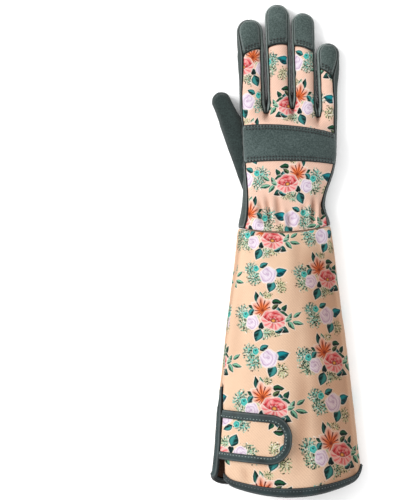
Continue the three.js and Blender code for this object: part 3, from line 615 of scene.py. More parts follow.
def make_glove_skin():
    skin = Skin()
    upper = [[skin.add(body_point(row, c, False)) for c in COLUMNS] for row in range(FORK_ROW + 1)]
    lower = [[skin.add(body_point(row, c, True)) for c in COLUMNS] for row in range(FORK_ROW + 1)]
    for row in range(FORK_ROW):
        hand = row >= WRIST_ROW
        band = BAND_LOW_ROW <= row < BAND_HIGH_ROW
        top = ("under_band" if band else "hand_back") if hand else "cuff"
        for i in range(len(COLUMNS) - 1):
            skin.pair(upper, lower, row, i, top, "palm" if hand else "cuff")

    def rise_at(row):
        return HEM_RISE * (1 - ROWS[row][2]) ** 4 if row < WRIST_ROW else 0

    def near_pair(row):
        slit = row <= SLIT_ROWS
        blend = smooth(row, SLIT_ROWS, SLIT_ROWS + 8)
        first = slit_share_at(row)
        if not slit:
            first = lerp(slit_share_at(SLIT_ROWS), 1 / RIBBON_STEPS, blend)

        def rise(share):
            reach = min((1 - share) / (1 - first), 1) / 2 if slit else share
            return rise_at(row) * math.sin(math.pi * reach)

        ends = dict(upper=upper[row][0], lower=lower[row][0], inset=row_section(row)["near"])
        return dict(ends, row=row, side="thumb", first=first, rise=rise)

    def far_pair(row):
        def rise(share):
            return rise_at(row) * math.sin(math.pi * share)

        ends = dict(upper=upper[row][-1], lower=lower[row][-1])
        return dict(ends, row=row, side="little", inset=row_section(row)["far"], rise=rise)

    outline = [near_pair(row) for row in range(FORK_ROW)]
    tips = []
    grown = {}
    for f, finger in enumerate(FINGERS):
        if f:
            for i, c in enumerate(COLUMNS):
                if c["finger"] == f and c["gap"]:
                    ends = dict(upper=upper[FORK_ROW][i], lower=lower[FORK_ROW][i])
                    outline.append(dict(ends, row=FORK_ROW, side="web", inset=FORK_BULGE))
        own = [i for i, c in enumerate(COLUMNS) if c["finger"] == f and not c["gap"]]
        name = finger["name"]
        names = dict(back="hand_back", cap=f"cap_{name}", palm="palm", pad=f"pad_{name}")
        bases = ([side[FORK_ROW][i] for i in own] for side in (upper, lower))
        digit_upper, digit_lower = grow_digit(skin, finger, *bases, names)
        grown[name] = (digit_upper, digit_lower)
        tips.append(len(outline) + DIGIT_ROWS + FINGER_COLUMNS // 2)
        for pair in digit_outline(digit_upper, digit_lower, finger):
            outline.append(dict(pair, row=FORK_ROW, side="finger"))
    outline += [far_pair(row) for row in range(FORK_ROW - 1, -1, -1)]

    def piece_of(k, step):
        row = min(outline[k]["row"], outline[k + 1]["row"])
        if row < WRIST_ROW:
            slit = outline[k]["side"] == "thumb" and row < SLIT_ROWS and step == 0
            return "slit" if slit else "cuff"
        if is_pad_side(outline[k], outline[k + 1], step):
            return f"pad_{outline[k]['digit']['name']}"
        if k < tips[0] or k >= tips[3]:
            return "palm"
        return FORCHETTES[sum(k >= tip for tip in tips) - 1]

    grow_ribbon(skin, outline, piece_of)
    return skin, upper, lower, outline, grown


def flatten_cuff(skin, upper, lower, outline):
    """UVs of the print on the cuff: unrolled from the middle of the back, round both sides."""

    def unroll(path, lengths, way=1):
        for a, b in zip(path, path[1:]):
            lengths[b] = lengths[a] + way * (skin.points[a] - skin.points[b]).length

    far = {pair["row"]: pair["ids"] for pair in outline if pair["side"] == "little"}
    near = {pair["row"]: pair["ids"] for pair in outline if pair["side"] == "thumb"}
    place, side = {}, {}
    for row in range(WRIST_ROW + 1):
        ids = upper[row]
        middle = min(range(len(ids)), key=lambda i: abs(skin.points[ids[i]].x))
        reach = {ids[middle]: skin.points[ids[middle]].x}
        unroll(ids[middle:], reach)
        unroll(ids[middle::-1], reach, -1)
        unroll(far[row] + lower[row][::-1][1:], reach)
        back = near[row][::-1]
        around = {back[0]: reach[back[0]]}
        unroll(back, around)
        for flat, lengths in ((place, reach), (side, around)):
            flat.update((i, cuff_print(value, skin.points[i].y)) for i, value in lengths.items())
    return place, side


# Step of the print's bouquets in its own units, and its growth with each pixel down the cuff
PRINT_STEP = 82
PRINT_GROWTH = 0.094


def cuff_print(x, y):
    """Place on the print of a place on the cuff, where the motifs grow towards the hem."""
    px, py = to_photo(x, y)
    step = 77 + PRINT_GROWTH * (clamp(py, 215, 520) - 258)
    return (px - 262.5) / step * PRINT_STEP, -(math.log(step / 83.11) / PRINT_GROWTH) * PRINT_STEP


def hand_print(x, y):
    """Place on the print of a place on the hand, where the photo's print runs the other way."""
    px, py = to_photo(x, y)
    return (298 - 0.025 * (py - 109) - px) / 0.9, (109 - py) / 0.957


def strap_print(x, y):
    """The strap's cloth is cut the other way up, so its flowers hang upside down."""
    px, py = to_photo(x, y)
    return (228.6 - px) / 1.03, (py - 457) / 1.03


OUTSIDE, INSIDE, RIM = range(3)


def open_edges(polygons):
    """Edges that have a face on one side only."""
    edges = dict.fromkeys(
        edge for corners in polygons for edge in zip(corners, (*corners[1:], corners[0]))
    )
    return [(a, b) for a, b in edges if (b, a) not in edges]


def wall_over(
    source, normals, faces, wall,
    raise_by=0.0, gap=0.3, groove=0.0, groove_width=1.6, pucker=0.0, seed=1.0,
):
    """A closed wall over some faces of a skin. Its free edges are drawn back by half the gap and
    dip by the groove, as a sewn edge does. Gives points, polygons, their UVs, sides and shades."""
    used = sorted({i for _, corners, _ in faces for i in corners})
    order = {i: k for k, i in enumerate(used)}
    rim = open_edges([corners for _, corners, _ in faces])
    shifts = {}
    for a, b in rim:
        along = (source.points[b] - source.points[a]).normalized()
        for i in (a, b):
            shifts.setdefault(i, []).append(normals[i].cross(along).normalized())
    rim_points = np.array([source.points[i] for i in sorted(shifts)])
    outer, inner, seams = [], [], []
    for i in used:
        place, normal = source.points[i], normals[i]
        point = place.copy()
        if i in shifts:
            spread = max(1 + shifts[i][0].dot(shifts[i][1]), 0.5) if len(shifts[i]) > 1 else 1
            point += sum(shifts[i], Vector()) * gap / 2 / spread
        away = float(np.sqrt(((rim_points - np.array(place)) ** 2).sum(axis=1).min()))
        dip = groove * math.exp(-((away / groove_width) ** 2))
        if pucker:
            wave = 0.5 + soft_noise(*place, 3.2, seed)
            dip += pucker * math.exp(-((away / PUCKER_REACH) ** 2)) * wave
        outer.append(point + normal * (raise_by - dip))
        inner.append(point + normal * (raise_by - wall - 0.4 * dip))
        seams.append(clamp(1 - away / SEAM_REACH))
    n = len(used)
    made = []
    for _, corners, flat in faces:
        ids = [order[i] for i in corners]
        uvs = flat or [source.flat[i] for i in corners]
        made.append((ids, uvs, OUTSIDE))
        made.append(([i + n for i in reversed(ids)], uvs[::-1], INSIDE))
    for a, b in rim:
        i, j = order[a], order[b]
        made.append(([j, i, i + n, j + n], [source.flat[k] for k in (b, a, a, b)], RIM))
    # The painted shade of the folds and of the cuff's sides goes to the piece as an attribute
    painted_shades = [source.crease.get(i, 0.0) for i in used]
    return outer + inner, *zip(*made), {"seam": seams * 2, "crease": painted_shades * 2}


def link(name, data):
    """A new object in the scene, with its data."""
    made = bpy.data.objects.new(name, data)
    bpy.context.scene.collection.objects.link(made)
    return made


def make_piece(
    name, points, polygons, materials, flats=None, slots=None, shades=None, rounded=True
):
    """A piece of the glove at its place in metres, with its UVs, smooth and once subdivided.
    Nothing of it lies below the floor. Its shades are values of its own at each point."""
    mesh = bpy.data.meshes.new(name)
    placed = [(Vector(p) + SHIFT) * MM for p in points]
    mesh.from_pydata([(p.x, p.y, max(p.z, 0)) for p in placed], [], [list(p) for p in polygons])
    for shade, values in (shades or {}).items():
        mesh.attributes.new(shade, "FLOAT", "POINT").data.foreach_set("value", values)
    for material in materials:
        mesh.materials.append(material)
    if flats:
        values = np.array([uv for polygon in flats for uv in polygon], dtype=np.float32)
        mesh.uv_layers.new(name="print").data.foreach_set("uv", values.ravel())
    if slots:
        mesh.polygons.foreach_set("material_index", slots)
    mesh.validate()
    mesh.update()
    piece = link(name, mesh)
    if rounded:
        divide = piece.modifiers.new("rounding", "SUBSURF")
        divide.levels = divide.render_levels = 1
        divide.uv_smooth = "PRESERVE_BOUNDARIES"
    for polygon in mesh.polygons:
        polygon.use_smooth = True
    return piece


# ---------------------------------------------------------------- finishes


class Pen:
    """Short names for adding nodes to one tree."""

    def __init__(self, tree):
        self.tree = tree

    def give(self, socket, value):
        if isinstance(value, bpy.types.NodeSocket):
            self.tree.links.new(value, socket)
        else:
            socket.default_value = value

    def node(self, kind, *values, **settings):
        """A shader node with its settings, and with values for its inputs in their order."""
        made = self.tree.nodes.new("ShaderNode" + kind)
        for key, value in settings.items():
            setattr(made, key, value)
        for socket, value in zip(made.inputs, values):
            self.give(socket, value)
        return made

    def fill(self, node, **values):
        """Gives values to inputs by their names, with _ for a space."""
        for name, value in values.items():
            self.give(node.inputs[name.replace("_", " ")], value)
        return node

    def math(self, operation, *values):
        return self.node("Math", *values, operation=operation).outputs[0]

    def vector(self, operation, *values):
        made = self.node("VectorMath", *values, operation=operation)
        return made.outputs["Value" if operation == "DOT_PRODUCT" else "Vector"]

    def mix(self, share, first, second, blend="MIX"):
        made = self.node("Mix", share, data_type="RGBA", blend_type=blend, clamp_factor=True)
        self.give(made.inputs[6], first)
        self.give(made.inputs[7], second)
        return made.outputs[2]

    def range(self, value, low, high, to_low=0.0, to_high=1.0):
        return self.node("MapRange", value, low, high, to_low, to_high, clamp=True).outputs[0]

    def layer(self, under, colour, value, low, high, most=1.0):
        """A colour laid over another, up to the most share, as a value goes from low to high."""
        return self.mix(self.range(value, low, high, 0.0, most), under, colour)

    def split(self, vector, kind="XYZ"):
        return self.node("Separate" + kind, vector).outputs

    def noise(self, vector, scale, detail=2.0, rough=0.5, distortion=0.0, output="Fac"):
        made = self.fill(self.node("TexNoise"), Vector=vector, Scale=scale, Detail=detail)
        return self.fill(made, Roughness=rough, Distortion=distortion).outputs[output]

    def use(self, group, **values):
        return self.fill(self.node("Group", node_tree=group), **values)


SHORT_NAMES = dict(add="ADD", less="SUBTRACT", times="MULTIPLY", mad="MULTIPLY_ADD", sine="SINE")
for short, operation in SHORT_NAMES.items():
    setattr(Pen, short, partialmethod(Pen.math, operation))


# How bright the studio's light makes a white surface that faces it, and its surroundings' part
STUDIO_LIGHT = 1.85
WORLD_LIGHT = 1.15


def hexed(text):
    """A colour as the eye sees it in the studio's light, in the renderer's linear numbers."""
    parts = [int(text[i : i + 2], 16) / 255 for i in (0, 2, 4)]
    linear = [c / 12.92 if c <= 0.04045 else ((c + 0.055) / 1.055) ** 2.4 for c in parts]
    return tuple(c / STUDIO_LIGHT for c in linear) + (1.0,)


SOCKET_KINDS = {"v": "NodeSocketVector", "c": "NodeSocketColor", "f": "NodeSocketFloat"}


def new_group(name, inputs, outputs):
    """A node group whose inputs and outputs are named as in "v:Vector c:Dark f:Pitch"."""
    tree = bpy.data.node_groups.new(name, "ShaderNodeTree")
    for text, way in ((inputs, "INPUT"), (outputs, "OUTPUT")):
        for kind, label in (part.split(":") for part in text.split()):
            tree.interface.new_socket(name=label, in_out=way, socket_type=SOCKET_KINDS[kind])
    entry, leave = tree.nodes.new("NodeGroupInput"), tree.nodes.new("NodeGroupOutput")
    return tree, Pen(tree), entry.outputs, leave.inputs


def hexes(text):
    return [hexed(part) for part in text.split()]


# Colours of the print
HALO, MAROON = hexes("fff6ea 6a1c12")
BLACK_GREEN, MOSS = hexes("020f08 1f5a3c")
TEAL, TEAL_LIGHT = hexes("06302f 3f9592")
LAKE, LAKE_LIGHT = hexes("053a42 12939c")
INK, INK_LIGHT = hexes("031412 1f5a52")
FERN, FERN_LIGHT = hexes("123f30 8ac8a8")
SAGE, SAGE_LIGHT = hexes("2f6a54 a4d2b4")
MINT, MINT_LIGHT = hexes("0f6a60 74cfc0")
HAY, HAY_LIGHT = hexes("67794f d4dcb0")
LILAC = (*hexes("9c749e dcc0dc f9ecf6"), 0.2)
CORAL = hexes("b41e26 f25a62 ffcac2 f6aa50")
FLAME = hexes("7c1c08 f47a40 ffdccb")
TURQUOISE = (*hexes("033a3a 0f9a94 62d4c8"), 1.0)
MARKS = {}


def mark(kind, inputs):
    """Makes the group of one kind of printed mark from the function that draws it. That function
    gets the place as seen from the mark. It gives the colour beside it, its cover and its tone."""

    def make(draw):
        places = " ".join("f:" + part for part in "X Y XX XY X0 YX YY Y0".split())
        all_inputs = f"{places} c:Under {inputs}"
        tree, pen, given, out = new_group("printed " + kind, all_inputs, "c:Color")

        def along(first, second, start):
            part = pen.mad(given["Y"], given[second], given[start])
            return pen.mad(given["X"], given[first], part)

        under, cover, tone = draw(pen, given, along("XX", "XY", "X0"), along("YX", "YY", "Y0"))
        pen.give(out["Color"], pen.mix(cover, under, tone))
        MARKS[kind] = tree, [part[2:] for part in inputs.split()]

    return make
def seen_from(centre, turn, size):
    """The numbers that take a place on the motif to a place on a moved, turned and sized mark."""
    c, s = math.cos(math.radians(turn)), math.sin(math.radians(turn))
    return {
        "XX": c / size[0], "XY": s / size[0], "X0": -(c * centre[0] + s * centre[1]) / size[0],
        "YX": -s / size[1], "YY": c / size[1], "Y0": (s * centre[0] - c * centre[1]) / size[1],
    }


def polar(pen, x, y):
    radius = pen.math("SQRT", pen.mad(x, x, pen.times(y, y)))
    return radius, pen.math("ARCTAN2", y, x)


@mark("leaf", "c:Dark c:Light")
def draw_leaf(pen, given, x, y):
    """A pointed leaf along its own X: dark rim, one half lit, pale side veins and a pale halo."""
    taper = pen.math("MAXIMUM", pen.mad(x, -0.28, 1.0), 0.3)
    room = pen.times(pen.less(1.0, pen.times(x, x)), taper)
    height = pen.math("ABSOLUTE", y)
    inside = pen.less(room, height)
    under = pen.layer(given["Under"], HALO, inside, -0.38, -0.12, 0.6)
    tone = pen.layer(given["Dark"], given["Light"], y, -0.15, 0.2)
    veins = pen.sine(pen.mad(x, 8.0, pen.times(height, -5.0)))
    tone = pen.layer(tone, given["Light"], veins, 0.3, 1.0, 0.4)
    tone = pen.layer(tone, given["Dark"], inside, 0.36, 0.1, 0.8)
    return under, pen.range(inside, -0.05, 0.07), tone


@mark("rose", "c:Deep c:Middle c:Pale f:Heart")
def draw_rose(pen, given, x, y):
    """A full rose from above: pale petals with fine darker lines where they overlap."""
    radius, angle = polar(pen, x, y)
    wave = pen.sine(pen.times(angle, 5.0))
    edge = pen.mad(wave, 0.05, radius)
    reach, around = polar(pen, x, pen.mad(y, 1.1, -0.3))
    bend = pen.sine(pen.mad(around, 2.0, pen.times(reach, 3.0)))
    turns = pen.mad(around, 0.1592, pen.times(reach, 1.7))
    petal = pen.math("PINGPONG", pen.mad(bend, 0.3, turns), 0.5)
    under = pen.layer(given["Under"], HALO, edge, 1.12, 1.03, 0.7)
    tone = pen.mix(pen.range(petal, 0.02, 0.45, 0.25, 1.0), given["Middle"], given["Pale"])
    tone = pen.layer(tone, given["Deep"], petal, 0.08, 0.02, 0.55)
    heart = pen.times(pen.range(reach, 0.4, 0.1), given["Heart"])
    tone = pen.mix(heart, tone, given["Deep"])
    tone = pen.layer(tone, given["Pale"], edge, 0.8, 0.95, 0.7)
    return under, pen.range(edge, 1.02, 0.93), tone


@mark("peony", "c:Deep c:Middle c:Pale c:Heart")
def draw_peony(pen, given, x, y):
    """An open peony: a dome of streaked petals, a dark heart and two pale petals in front."""
    radius, angle = polar(pen, x, y)
    low = pen.add(y, 0.08)
    reach, turn = polar(pen, x, low)
    scallop = pen.sine(pen.mad(angle, 7.0, 1.0))
    edge = pen.mad(scallop, 0.05, radius)
    under = pen.layer(given["Under"], HALO, edge, 1.08, 1.02, 0.7)
    petals = pen.sine(pen.mad(turn, 5.0, pen.times(reach, 5.0)))
    tone = pen.layer(given["Middle"], given["Pale"], petals, -0.2, 0.9, 0.6)
    tone = pen.layer(tone, given["Deep"], petals, -0.7, -1.0, 0.8)
    lines = pen.sine(pen.mad(turn, 11.0, pen.times(reach, 3.0)))
    streak = pen.times(pen.range(lines, 0.1, 0.7), pen.range(reach, 1.0, 0.35, 0.0, 0.9))
    tone = pen.mix(streak, tone, given["Deep"])
    layer = pen.math("PINGPONG", pen.mad(reach, 2.5, pen.times(petals, -0.14)), 0.5)
    tone = pen.layer(tone, given["Pale"], layer, 0.1, 0.4, 0.35)
    tone = pen.layer(tone, given["Deep"], layer, 0.1, 0.02, 0.75)
    front = pen.add(low, pen.mad(pen.times(x, x), -0.55, 0.2))
    cup = pen.mix(pen.range(lines, -0.2, 0.9, 0.1, 0.8), given["Pale"], given["Middle"])
    cup = pen.mix(pen.range(pen.math("ABSOLUTE", x), 0.12, 0.02, 0.0, 0.6), cup, given["Deep"])
    cup = pen.layer(cup, HALO, front, -0.1, -0.03, 0.6)
    tone = pen.layer(tone, MAROON, reach, 0.3, 0.2, 0.85)
    tone = pen.layer(tone, given["Heart"], reach, 0.18, 0.08)
    shade = pen.times(pen.range(front, 0.18, 0.05), pen.range(reach, 0.3, 0.4, 0.0, 0.8))
    tone = pen.mix(shade, tone, given["Deep"])
    tone = pen.layer(tone, cup, front, 0.03, -0.03)
    tone = pen.layer(tone, given["Pale"], edge, 0.84, 0.99, 0.6)
    return under, pen.range(edge, 1.01, 0.95), tone


@mark("lily", "c:Deep c:Middle c:Pale")
def draw_lily(pen, given, x, y):
    """A lily, a fan of pointed petals: dark clefts between them and a deep streak along each."""
    radius, angle = polar(pen, x, pen.add(y, 0.35))
    length = pen.mad(pen.sine(angle), 0.34, 0.98)
    reach = pen.math("DIVIDE", radius, length)
    sway = pen.mad(reach, 0.35, pen.times(angle, 2.2282))
    across = pen.math("PINGPONG", sway, 1.0)
    room = pen.less(1.05, pen.times(reach, reach))
    inside = pen.less(room, pen.times(across, pen.times(reach, 0.86)))
    under = pen.layer(given["Under"], HALO, inside, -0.22, -0.06, 0.6)
    tone = pen.layer(given["Middle"], given["Pale"], reach, 0.45, 1.0)
    sides = pen.times(pen.range(across, 0.35, 0.6, 0.0, 0.6), pen.range(reach, 0.3, 0.6))
    tone = pen.mix(sides, tone, given["Pale"])
    streak = pen.times(pen.range(across, 0.24, 0.1, 0.0, 0.9), pen.range(reach, 0.9, 0.65))
    tone = pen.mix(streak, tone, given["Deep"])
    clefts = pen.times(pen.range(across, 0.78, 0.9), pen.range(reach, 1.0, 0.85))
    tone = pen.mix(clefts, tone, MAROON)
    tone = pen.layer(tone, given["Deep"], reach, 0.24, 0.06, 0.85)
    return under, pen.range(inside, -0.04, 0.04), tone


@mark("spray", "c:Dark c:Light f:Bud f:Pick f:Thin")
def draw_spray(pen, given, x, y):
    """A light spray: fine stems, with buds scattered among them that thin out to its rim."""
    radius, angle = polar(pen, x, y)
    under = pen.layer(given["Under"], given["Light"], radius, 1.1, 0.4, 0.45)
    stem = pen.sine(pen.mad(angle, 11.0, pen.times(radius, 5.0)))
    stem = pen.times(pen.range(stem, 0.2, 0.7, 0.0, 0.85), pen.range(radius, 1.05, 0.8))
    under = pen.mix(stem, under, given["Dark"])
    far = pen.mad(given["Thin"], 0.95, radius)
    bud = pen.times(given["Bud"], pen.range(far, 1.35, 1.25))
    tone = pen.mix(pen.range(given["Pick"], 0.2, 0.3), BLACK_GREEN, given["Dark"])
    tone = pen.mix(pen.range(given["Pick"], 0.55, 0.65), tone, given["Light"])
    tone = pen.mix(pen.range(given["Pick"], 0.88, 0.92), tone, HALO)
    return under, bud, tone


# Marks of the two motifs, back to front: kind, place, turn in degrees, size
BOUQUET = [
    ("spray", (-22, 8), 20, (8.5, 7.5), MINT, MINT_LIGHT),
    ("spray", (-19, -3.5), 70, (8, 9), SAGE, SAGE_LIGHT),
    ("spray", (3, -13), 40, (7, 5.5), SAGE, SAGE_LIGHT),
    ("spray", (12.5, -12), 10, (7, 4.2), HAY, HAY_LIGHT),
    ("spray", (4.2, 25), 80, (3.4, 5), HAY, HAY_LIGHT),
    ("leaf", (26.2, 3.4), 62, (4.4, 2.2), FERN, FERN_LIGHT),
    ("leaf", (34, 5.6), 32, (5, 2), FERN, FERN_LIGHT),
    ("leaf", (34.5, -2.6), -10, (6, 2.2), FERN, FERN_LIGHT),
    ("leaf", (27.5, -5), -52, (5.4, 2.5), FERN, FERN_LIGHT),
    ("leaf", (24, 0.5), 10, (4.5, 2), SAGE, SAGE_LIGHT),
    ("leaf", (19.8, -8.8), -28, (6, 3.6), INK, INK_LIGHT),
    ("leaf", (15.5, -10), 20, (4.4, 2.6), BLACK_GREEN, TEAL_LIGHT),
    ("leaf", (20.8, 11.6), 56, (5, 2.6), TEAL, MOSS),
    ("leaf", (15.3, 9.8), 100, (4, 2.8), TEAL, TEAL_LIGHT),
    ("leaf", (20.2, 6.6), -24, (5, 2.2), INK, MOSS),
    ("leaf", (13.8, 18.2), -5, (5.8, 3), BLACK_GREEN, MOSS),
    ("leaf", (11.8, 13.4), 35, (4.6, 2.2), BLACK_GREEN, HAY),
    ("leaf", (-2, 25), 112, (4, 1.8), MOSS, SAGE_LIGHT),
    ("leaf", (-6.4, 22.8), 102, (6.4, 2.7), BLACK_GREEN, INK_LIGHT),
    ("leaf", (-11.6, 8.6), 52, (5.2, 3), INK, TEAL_LIGHT),
    ("leaf", (-12.4, 13.4), 150, (3.4, 1.8), BLACK_GREEN, MOSS),
    ("leaf", (-1.4, -4.8), 62, (5, 3), BLACK_GREEN, TEAL),
    ("leaf", (-5, -14.6), 248, (6.6, 4.6), TEAL, TEAL_LIGHT),
    ("rose", (-18.2, 5.4), 10, (3.4, 3.4), *TURQUOISE),
    ("leaf", (-4.4, 5), 120, (3.4, 1.8), HAY, HAY_LIGHT),
    ("lily", (-0.9, 13.6), 4, (11, 11.6), *FLAME),
    ("peony", (10.1, 0.6), -8, (12, 9.6), *CORAL),
    ("rose", (-10.8, -2), 80, (7, 6.4), *LILAC),
]
POSY = [
    ("spray", (-18, 7), 15, (8, 6.5), MINT, MINT_LIGHT),
    ("spray", (-14.5, -3), 60, (8, 8.5), SAGE, MINT_LIGHT),
    ("spray", (12.5, -11.5), 30, (6.5, 7), HAY, HAY_LIGHT),
    ("leaf", (-4.2, 10.2), 25, (5, 3), INK, TEAL_LIGHT),
    ("leaf", (12.6, 3), 18, (7.6, 4.6), LAKE, LAKE_LIGHT),
    ("leaf", (3.2, -11.6), 250, (6.4, 4.6), TEAL, TEAL_LIGHT),
    ("rose", (-12.4, 6.6), 10, (3.2, 3.2), *TURQUOISE),
    ("rose", (0.2, 0), 40, (8.7, 8.2), *LILAC),
]

HALF_STEP = (61.5, 41.0)


def half_drop(pen, vector, shift):
    """The nearest place of a half-drop repeat: every other column is half a step lower."""
    moved = pen.vector("SUBTRACT", vector, (shift[0], shift[1], 0.0))
    most, least = (*HALF_STEP, 1.0), (-HALF_STEP[0], -HALF_STEP[1], -1.0)
    first = pen.vector("WRAP", moved, most, least)
    second = pen.vector("WRAP", pen.vector("ADD", moved, (*HALF_STEP, 0.0)), most, least)
    size = pen.vector("ABSOLUTE", first)
    away = pen.vector("DOT_PRODUCT", size, (1 / HALF_STEP[0], 1 / HALF_STEP[1], 0.0))
    pick = pen.node("Mix", data_type="VECTOR")
    pen.give(pick.inputs[0], pen.math("GREATER_THAN", away, 1.0))
    pen.give(pick.inputs[4], first)
    pen.give(pick.inputs[5], second)
    return pick.outputs[1]


def make_floral_print():
    """Bouquets and posies in a half-drop repeat. Squeeze brings its columns closer together."""
    tree, pen, given, out = new_group("floral print", "v:Vector c:Ground f:Squeeze", "c:Color")
    blur = pen.split(pen.noise(given["Vector"], 0.28, output="Color"), "Color")
    start = pen.split(given["Vector"])
    lattice = pen.node("CombineXYZ")
    across = pen.add(start[0], pen.mad(blur[0], 1.0, -0.5))
    pen.give(lattice.inputs[0], pen.times(across, given["Squeeze"]))
    pen.give(lattice.inputs[1], pen.add(start[1], pen.mad(blur[1], 1.0, -0.5)))
    dots = pen.node("TexVoronoi", voronoi_dimensions="2D")
    pen.fill(dots, Vector=given["Vector"], Scale=0.58)
    bud = pen.range(dots.outputs["Distance"], 0.46, 0.36)
    chance = pen.split(dots.outputs["Color"], "Color")
    colour = given["Ground"]
    for motif, shift in ((POSY, (5.0, 45.5)), (BOUQUET, (0.0, 0.0))):
        x, y, _ = pen.split(half_drop(pen, lattice.outputs[0], shift))
        x = pen.math("DIVIDE", x, given["Squeeze"])
        for kind, centre, turn, size, *tones in motif:
            group, names = MARKS[kind]
            values = dict(zip(names, tones), **seen_from(centre, turn, size))
            if kind == "spray":
                values.update(Bud=bud, Pick=chance[0], Thin=chance[1])
            colour = pen.use(group, X=x, Y=y, Under=colour, **values).outputs[0]
    pen.give(out["Color"], colour)
    return tree


def make_twill():
    """A fine twill: ribs that run aslant, with each thread a little lighter or darker."""
    tree, pen, given, out = new_group("twill weave", "v:Vector c:Color f:Pitch", "c:Color f:Height")
    x, y, _ = pen.split(given["Vector"])
    slant = pen.times(pen.mad(y, 0.8, x), given["Pitch"])
    rib = pen.sine(slant)
    cross = pen.sine(pen.times(pen.mad(y, -1.2, x), given["Pitch"]))
    height = pen.mad(cross, 0.3, rib)
    fleck = pen.noise(given["Vector"], 0.9, 3.0, 0.6)
    patch = pen.noise(given["Vector"], 0.05, 2.0, 0.5)
    wide = pen.sine(pen.times(pen.mad(y, 0.95, x), 2.3))
    shade = pen.mad(wide, 0.05, pen.range(fleck, 0.25, 0.75, 0.86, 1.06))
    shade = pen.times(shade, pen.range(patch, 0.3, 0.7, 0.96, 1.03))
    grey = pen.node("CombineColor", shade, shade, shade)
    pen.give(out["Color"], pen.mix(1.0, given["Color"], grey.outputs[0], "MULTIPLY"))
    pen.give(out["Height"], height)
    return tree


def make_nap():
    """Suede's short nap: brushed patches, fine grain and a few pale fibres."""
    outputs = "c:Color f:Height f:Roughness"
    tree, pen, given, out = new_group("suede nap", "v:Vector c:Dark c:Light", outputs)
    brushed = pen.noise(given["Vector"], 28.0, 3.0, 0.55, 0.6)
    grain = pen.noise(given["Vector"], 700.0, 3.0, 0.65)
    fibre = pen.noise(given["Vector"], 2600.0, 2.0, 0.7)
    tone = pen.layer(given["Dark"], given["Light"], brushed, 0.3, 0.7)
    shade = pen.mad(grain, 0.5, pen.times(fibre, 0.5))
    dark = pen.layer(tone, given["Dark"], shade, 0.53, 0.42, 0.9)
    pale = pen.layer(dark, given["Light"], shade, 0.5, 0.6, 0.9)
    pen.give(out["Color"], pale)
    pen.give(out["Height"], shade)
    pen.give(out["Roughness"], pen.range(grain, 0.3, 0.7, 0.84, 0.98))
    return tree


def make_ribbing():
    """Woven binding tape: close cross ribs with a soft sheen between them."""
    tree, pen, given, out = new_group("tape ribs", "v:Vector c:Dark c:Light", "c:Color f:Height")
    x, y, z = pen.split(given["Vector"])
    weave = pen.sine(pen.times(pen.add(x, z), 5200.0))
    weft = pen.sine(pen.times(pen.less(y, z), 5200.0))
    height = pen.times(weave, weft)
    soil = pen.noise(given["Vector"], 60.0, 3.0, 0.6)
    shade = pen.mad(height, 0.12, pen.range(soil, 0.3, 0.7))
    pen.give(out["Color"], pen.mix(shade, given["Dark"], given["Light"]))
    pen.give(out["Height"], height)
    return tree


def make_seam_shade():
    """Painted shade along a sewn edge, a painted highlight on a raised band beside it, and painted
    shade in the folds and on the cuff's sides.
    """
    inputs = "c:Color f:Seam f:Crease c:Line f:Width f:Ridge c:Fold"
    tree, pen, given, out = new_group("seam shade", inputs, "c:Color")
    # Painted shade in the folds and on the cuff's sides: the colour is multiplied towards the fold
    # colour
    fold_shaded = pen.mix(given["Crease"], given["Color"], given["Fold"], "MULTIPLY")
    # Painted highlight: a pale band a little way in from each seam
    ridge = pen.times(pen.range(given["Seam"], 0.5, 0.64), pen.range(given["Seam"], 0.82, 0.7))
    highlighted = pen.mix(pen.times(ridge, given["Ridge"]), fold_shaded, (1.0, 1.0, 1.0, 1.0))
    start = pen.less(1.0, given["Width"])
    full = pen.mad(given["Width"], -0.5, 1.0)
    share = pen.range(given["Seam"], start, full)
    pen.give(out["Color"], pen.mix(share, highlighted, given["Line"], "MULTIPLY"))
    return tree


PRINT = make_floral_print()
TWILL = make_twill()
NAP = make_nap()
RIBBING = make_ribbing()
SEAM_SHADE = make_seam_shade()


def new_material(name):
    material = bpy.data.materials.new(name)
    material.use_nodes = True
    return material, Pen(material.node_tree), material.node_tree.nodes["Principled BSDF"]


def print_place(pen):
    return pen.node("UVMap", uv_map="print").outputs[0]


def object_place(pen):
    return pen.node("TexCoord").outputs["Object"]


def shade_of(pen, name):
    return pen.node("Attribute", attribute_name=name).outputs["Fac"]


def surface(pen, shader, height, strength, distance, **values):
    """The relief of a material and the plain values of its shader."""
    relief = pen.fill(pen.node("Bump"), Strength=strength, Distance=distance, Height=height)
    pen.fill(shader, Normal=relief.outputs["Normal"], **values)


# Paints shade along sewn edges and in the folds, and a painted highlight on a band beside each seam
def shade_seams(pen, shader, colour, line, width, ridge=0.0, fold=(1.0, 1.0, 1.0)):
    seam, crease = shade_of(pen, "seam"), shade_of(pen, "crease")
    values = dict(Line=(*line, 1.0), Width=width, Ridge=ridge, Fold=(*fold, 1.0))
    shaded = pen.use(SEAM_SHADE, Color=colour, Seam=seam, Crease=crease, **values)
    pen.fill(shader, Base_Color=shaded.outputs[0])


# Wave number of the twill's ribs, in mm of the print
TWILL_PITCH = 4.2


def printed_cloth(name, ground, line, squeeze=1.0):
    material, pen, shader = new_material(name)
    uv = print_place(pen)
    colour = pen.use(PRINT, Vector=uv, Ground=ground, Squeeze=squeeze).outputs[0]
    twill = pen.use(TWILL, Vector=uv, Color=colour, Pitch=TWILL_PITCH).outputs
    # Painted shade in the folds, tinted brown, and along the seams
    shade_seams(pen, shader, twill["Color"], line, 0.11, fold=(0.62, 0.52, 0.46))
    surface(
        pen, shader, twill["Height"], 0.35, 0.0002,
        Roughness=0.85, Specular_IOR_Level=0.12, Sheen_Weight=0.03, Sheen_Roughness=0.5,
    )
    return material


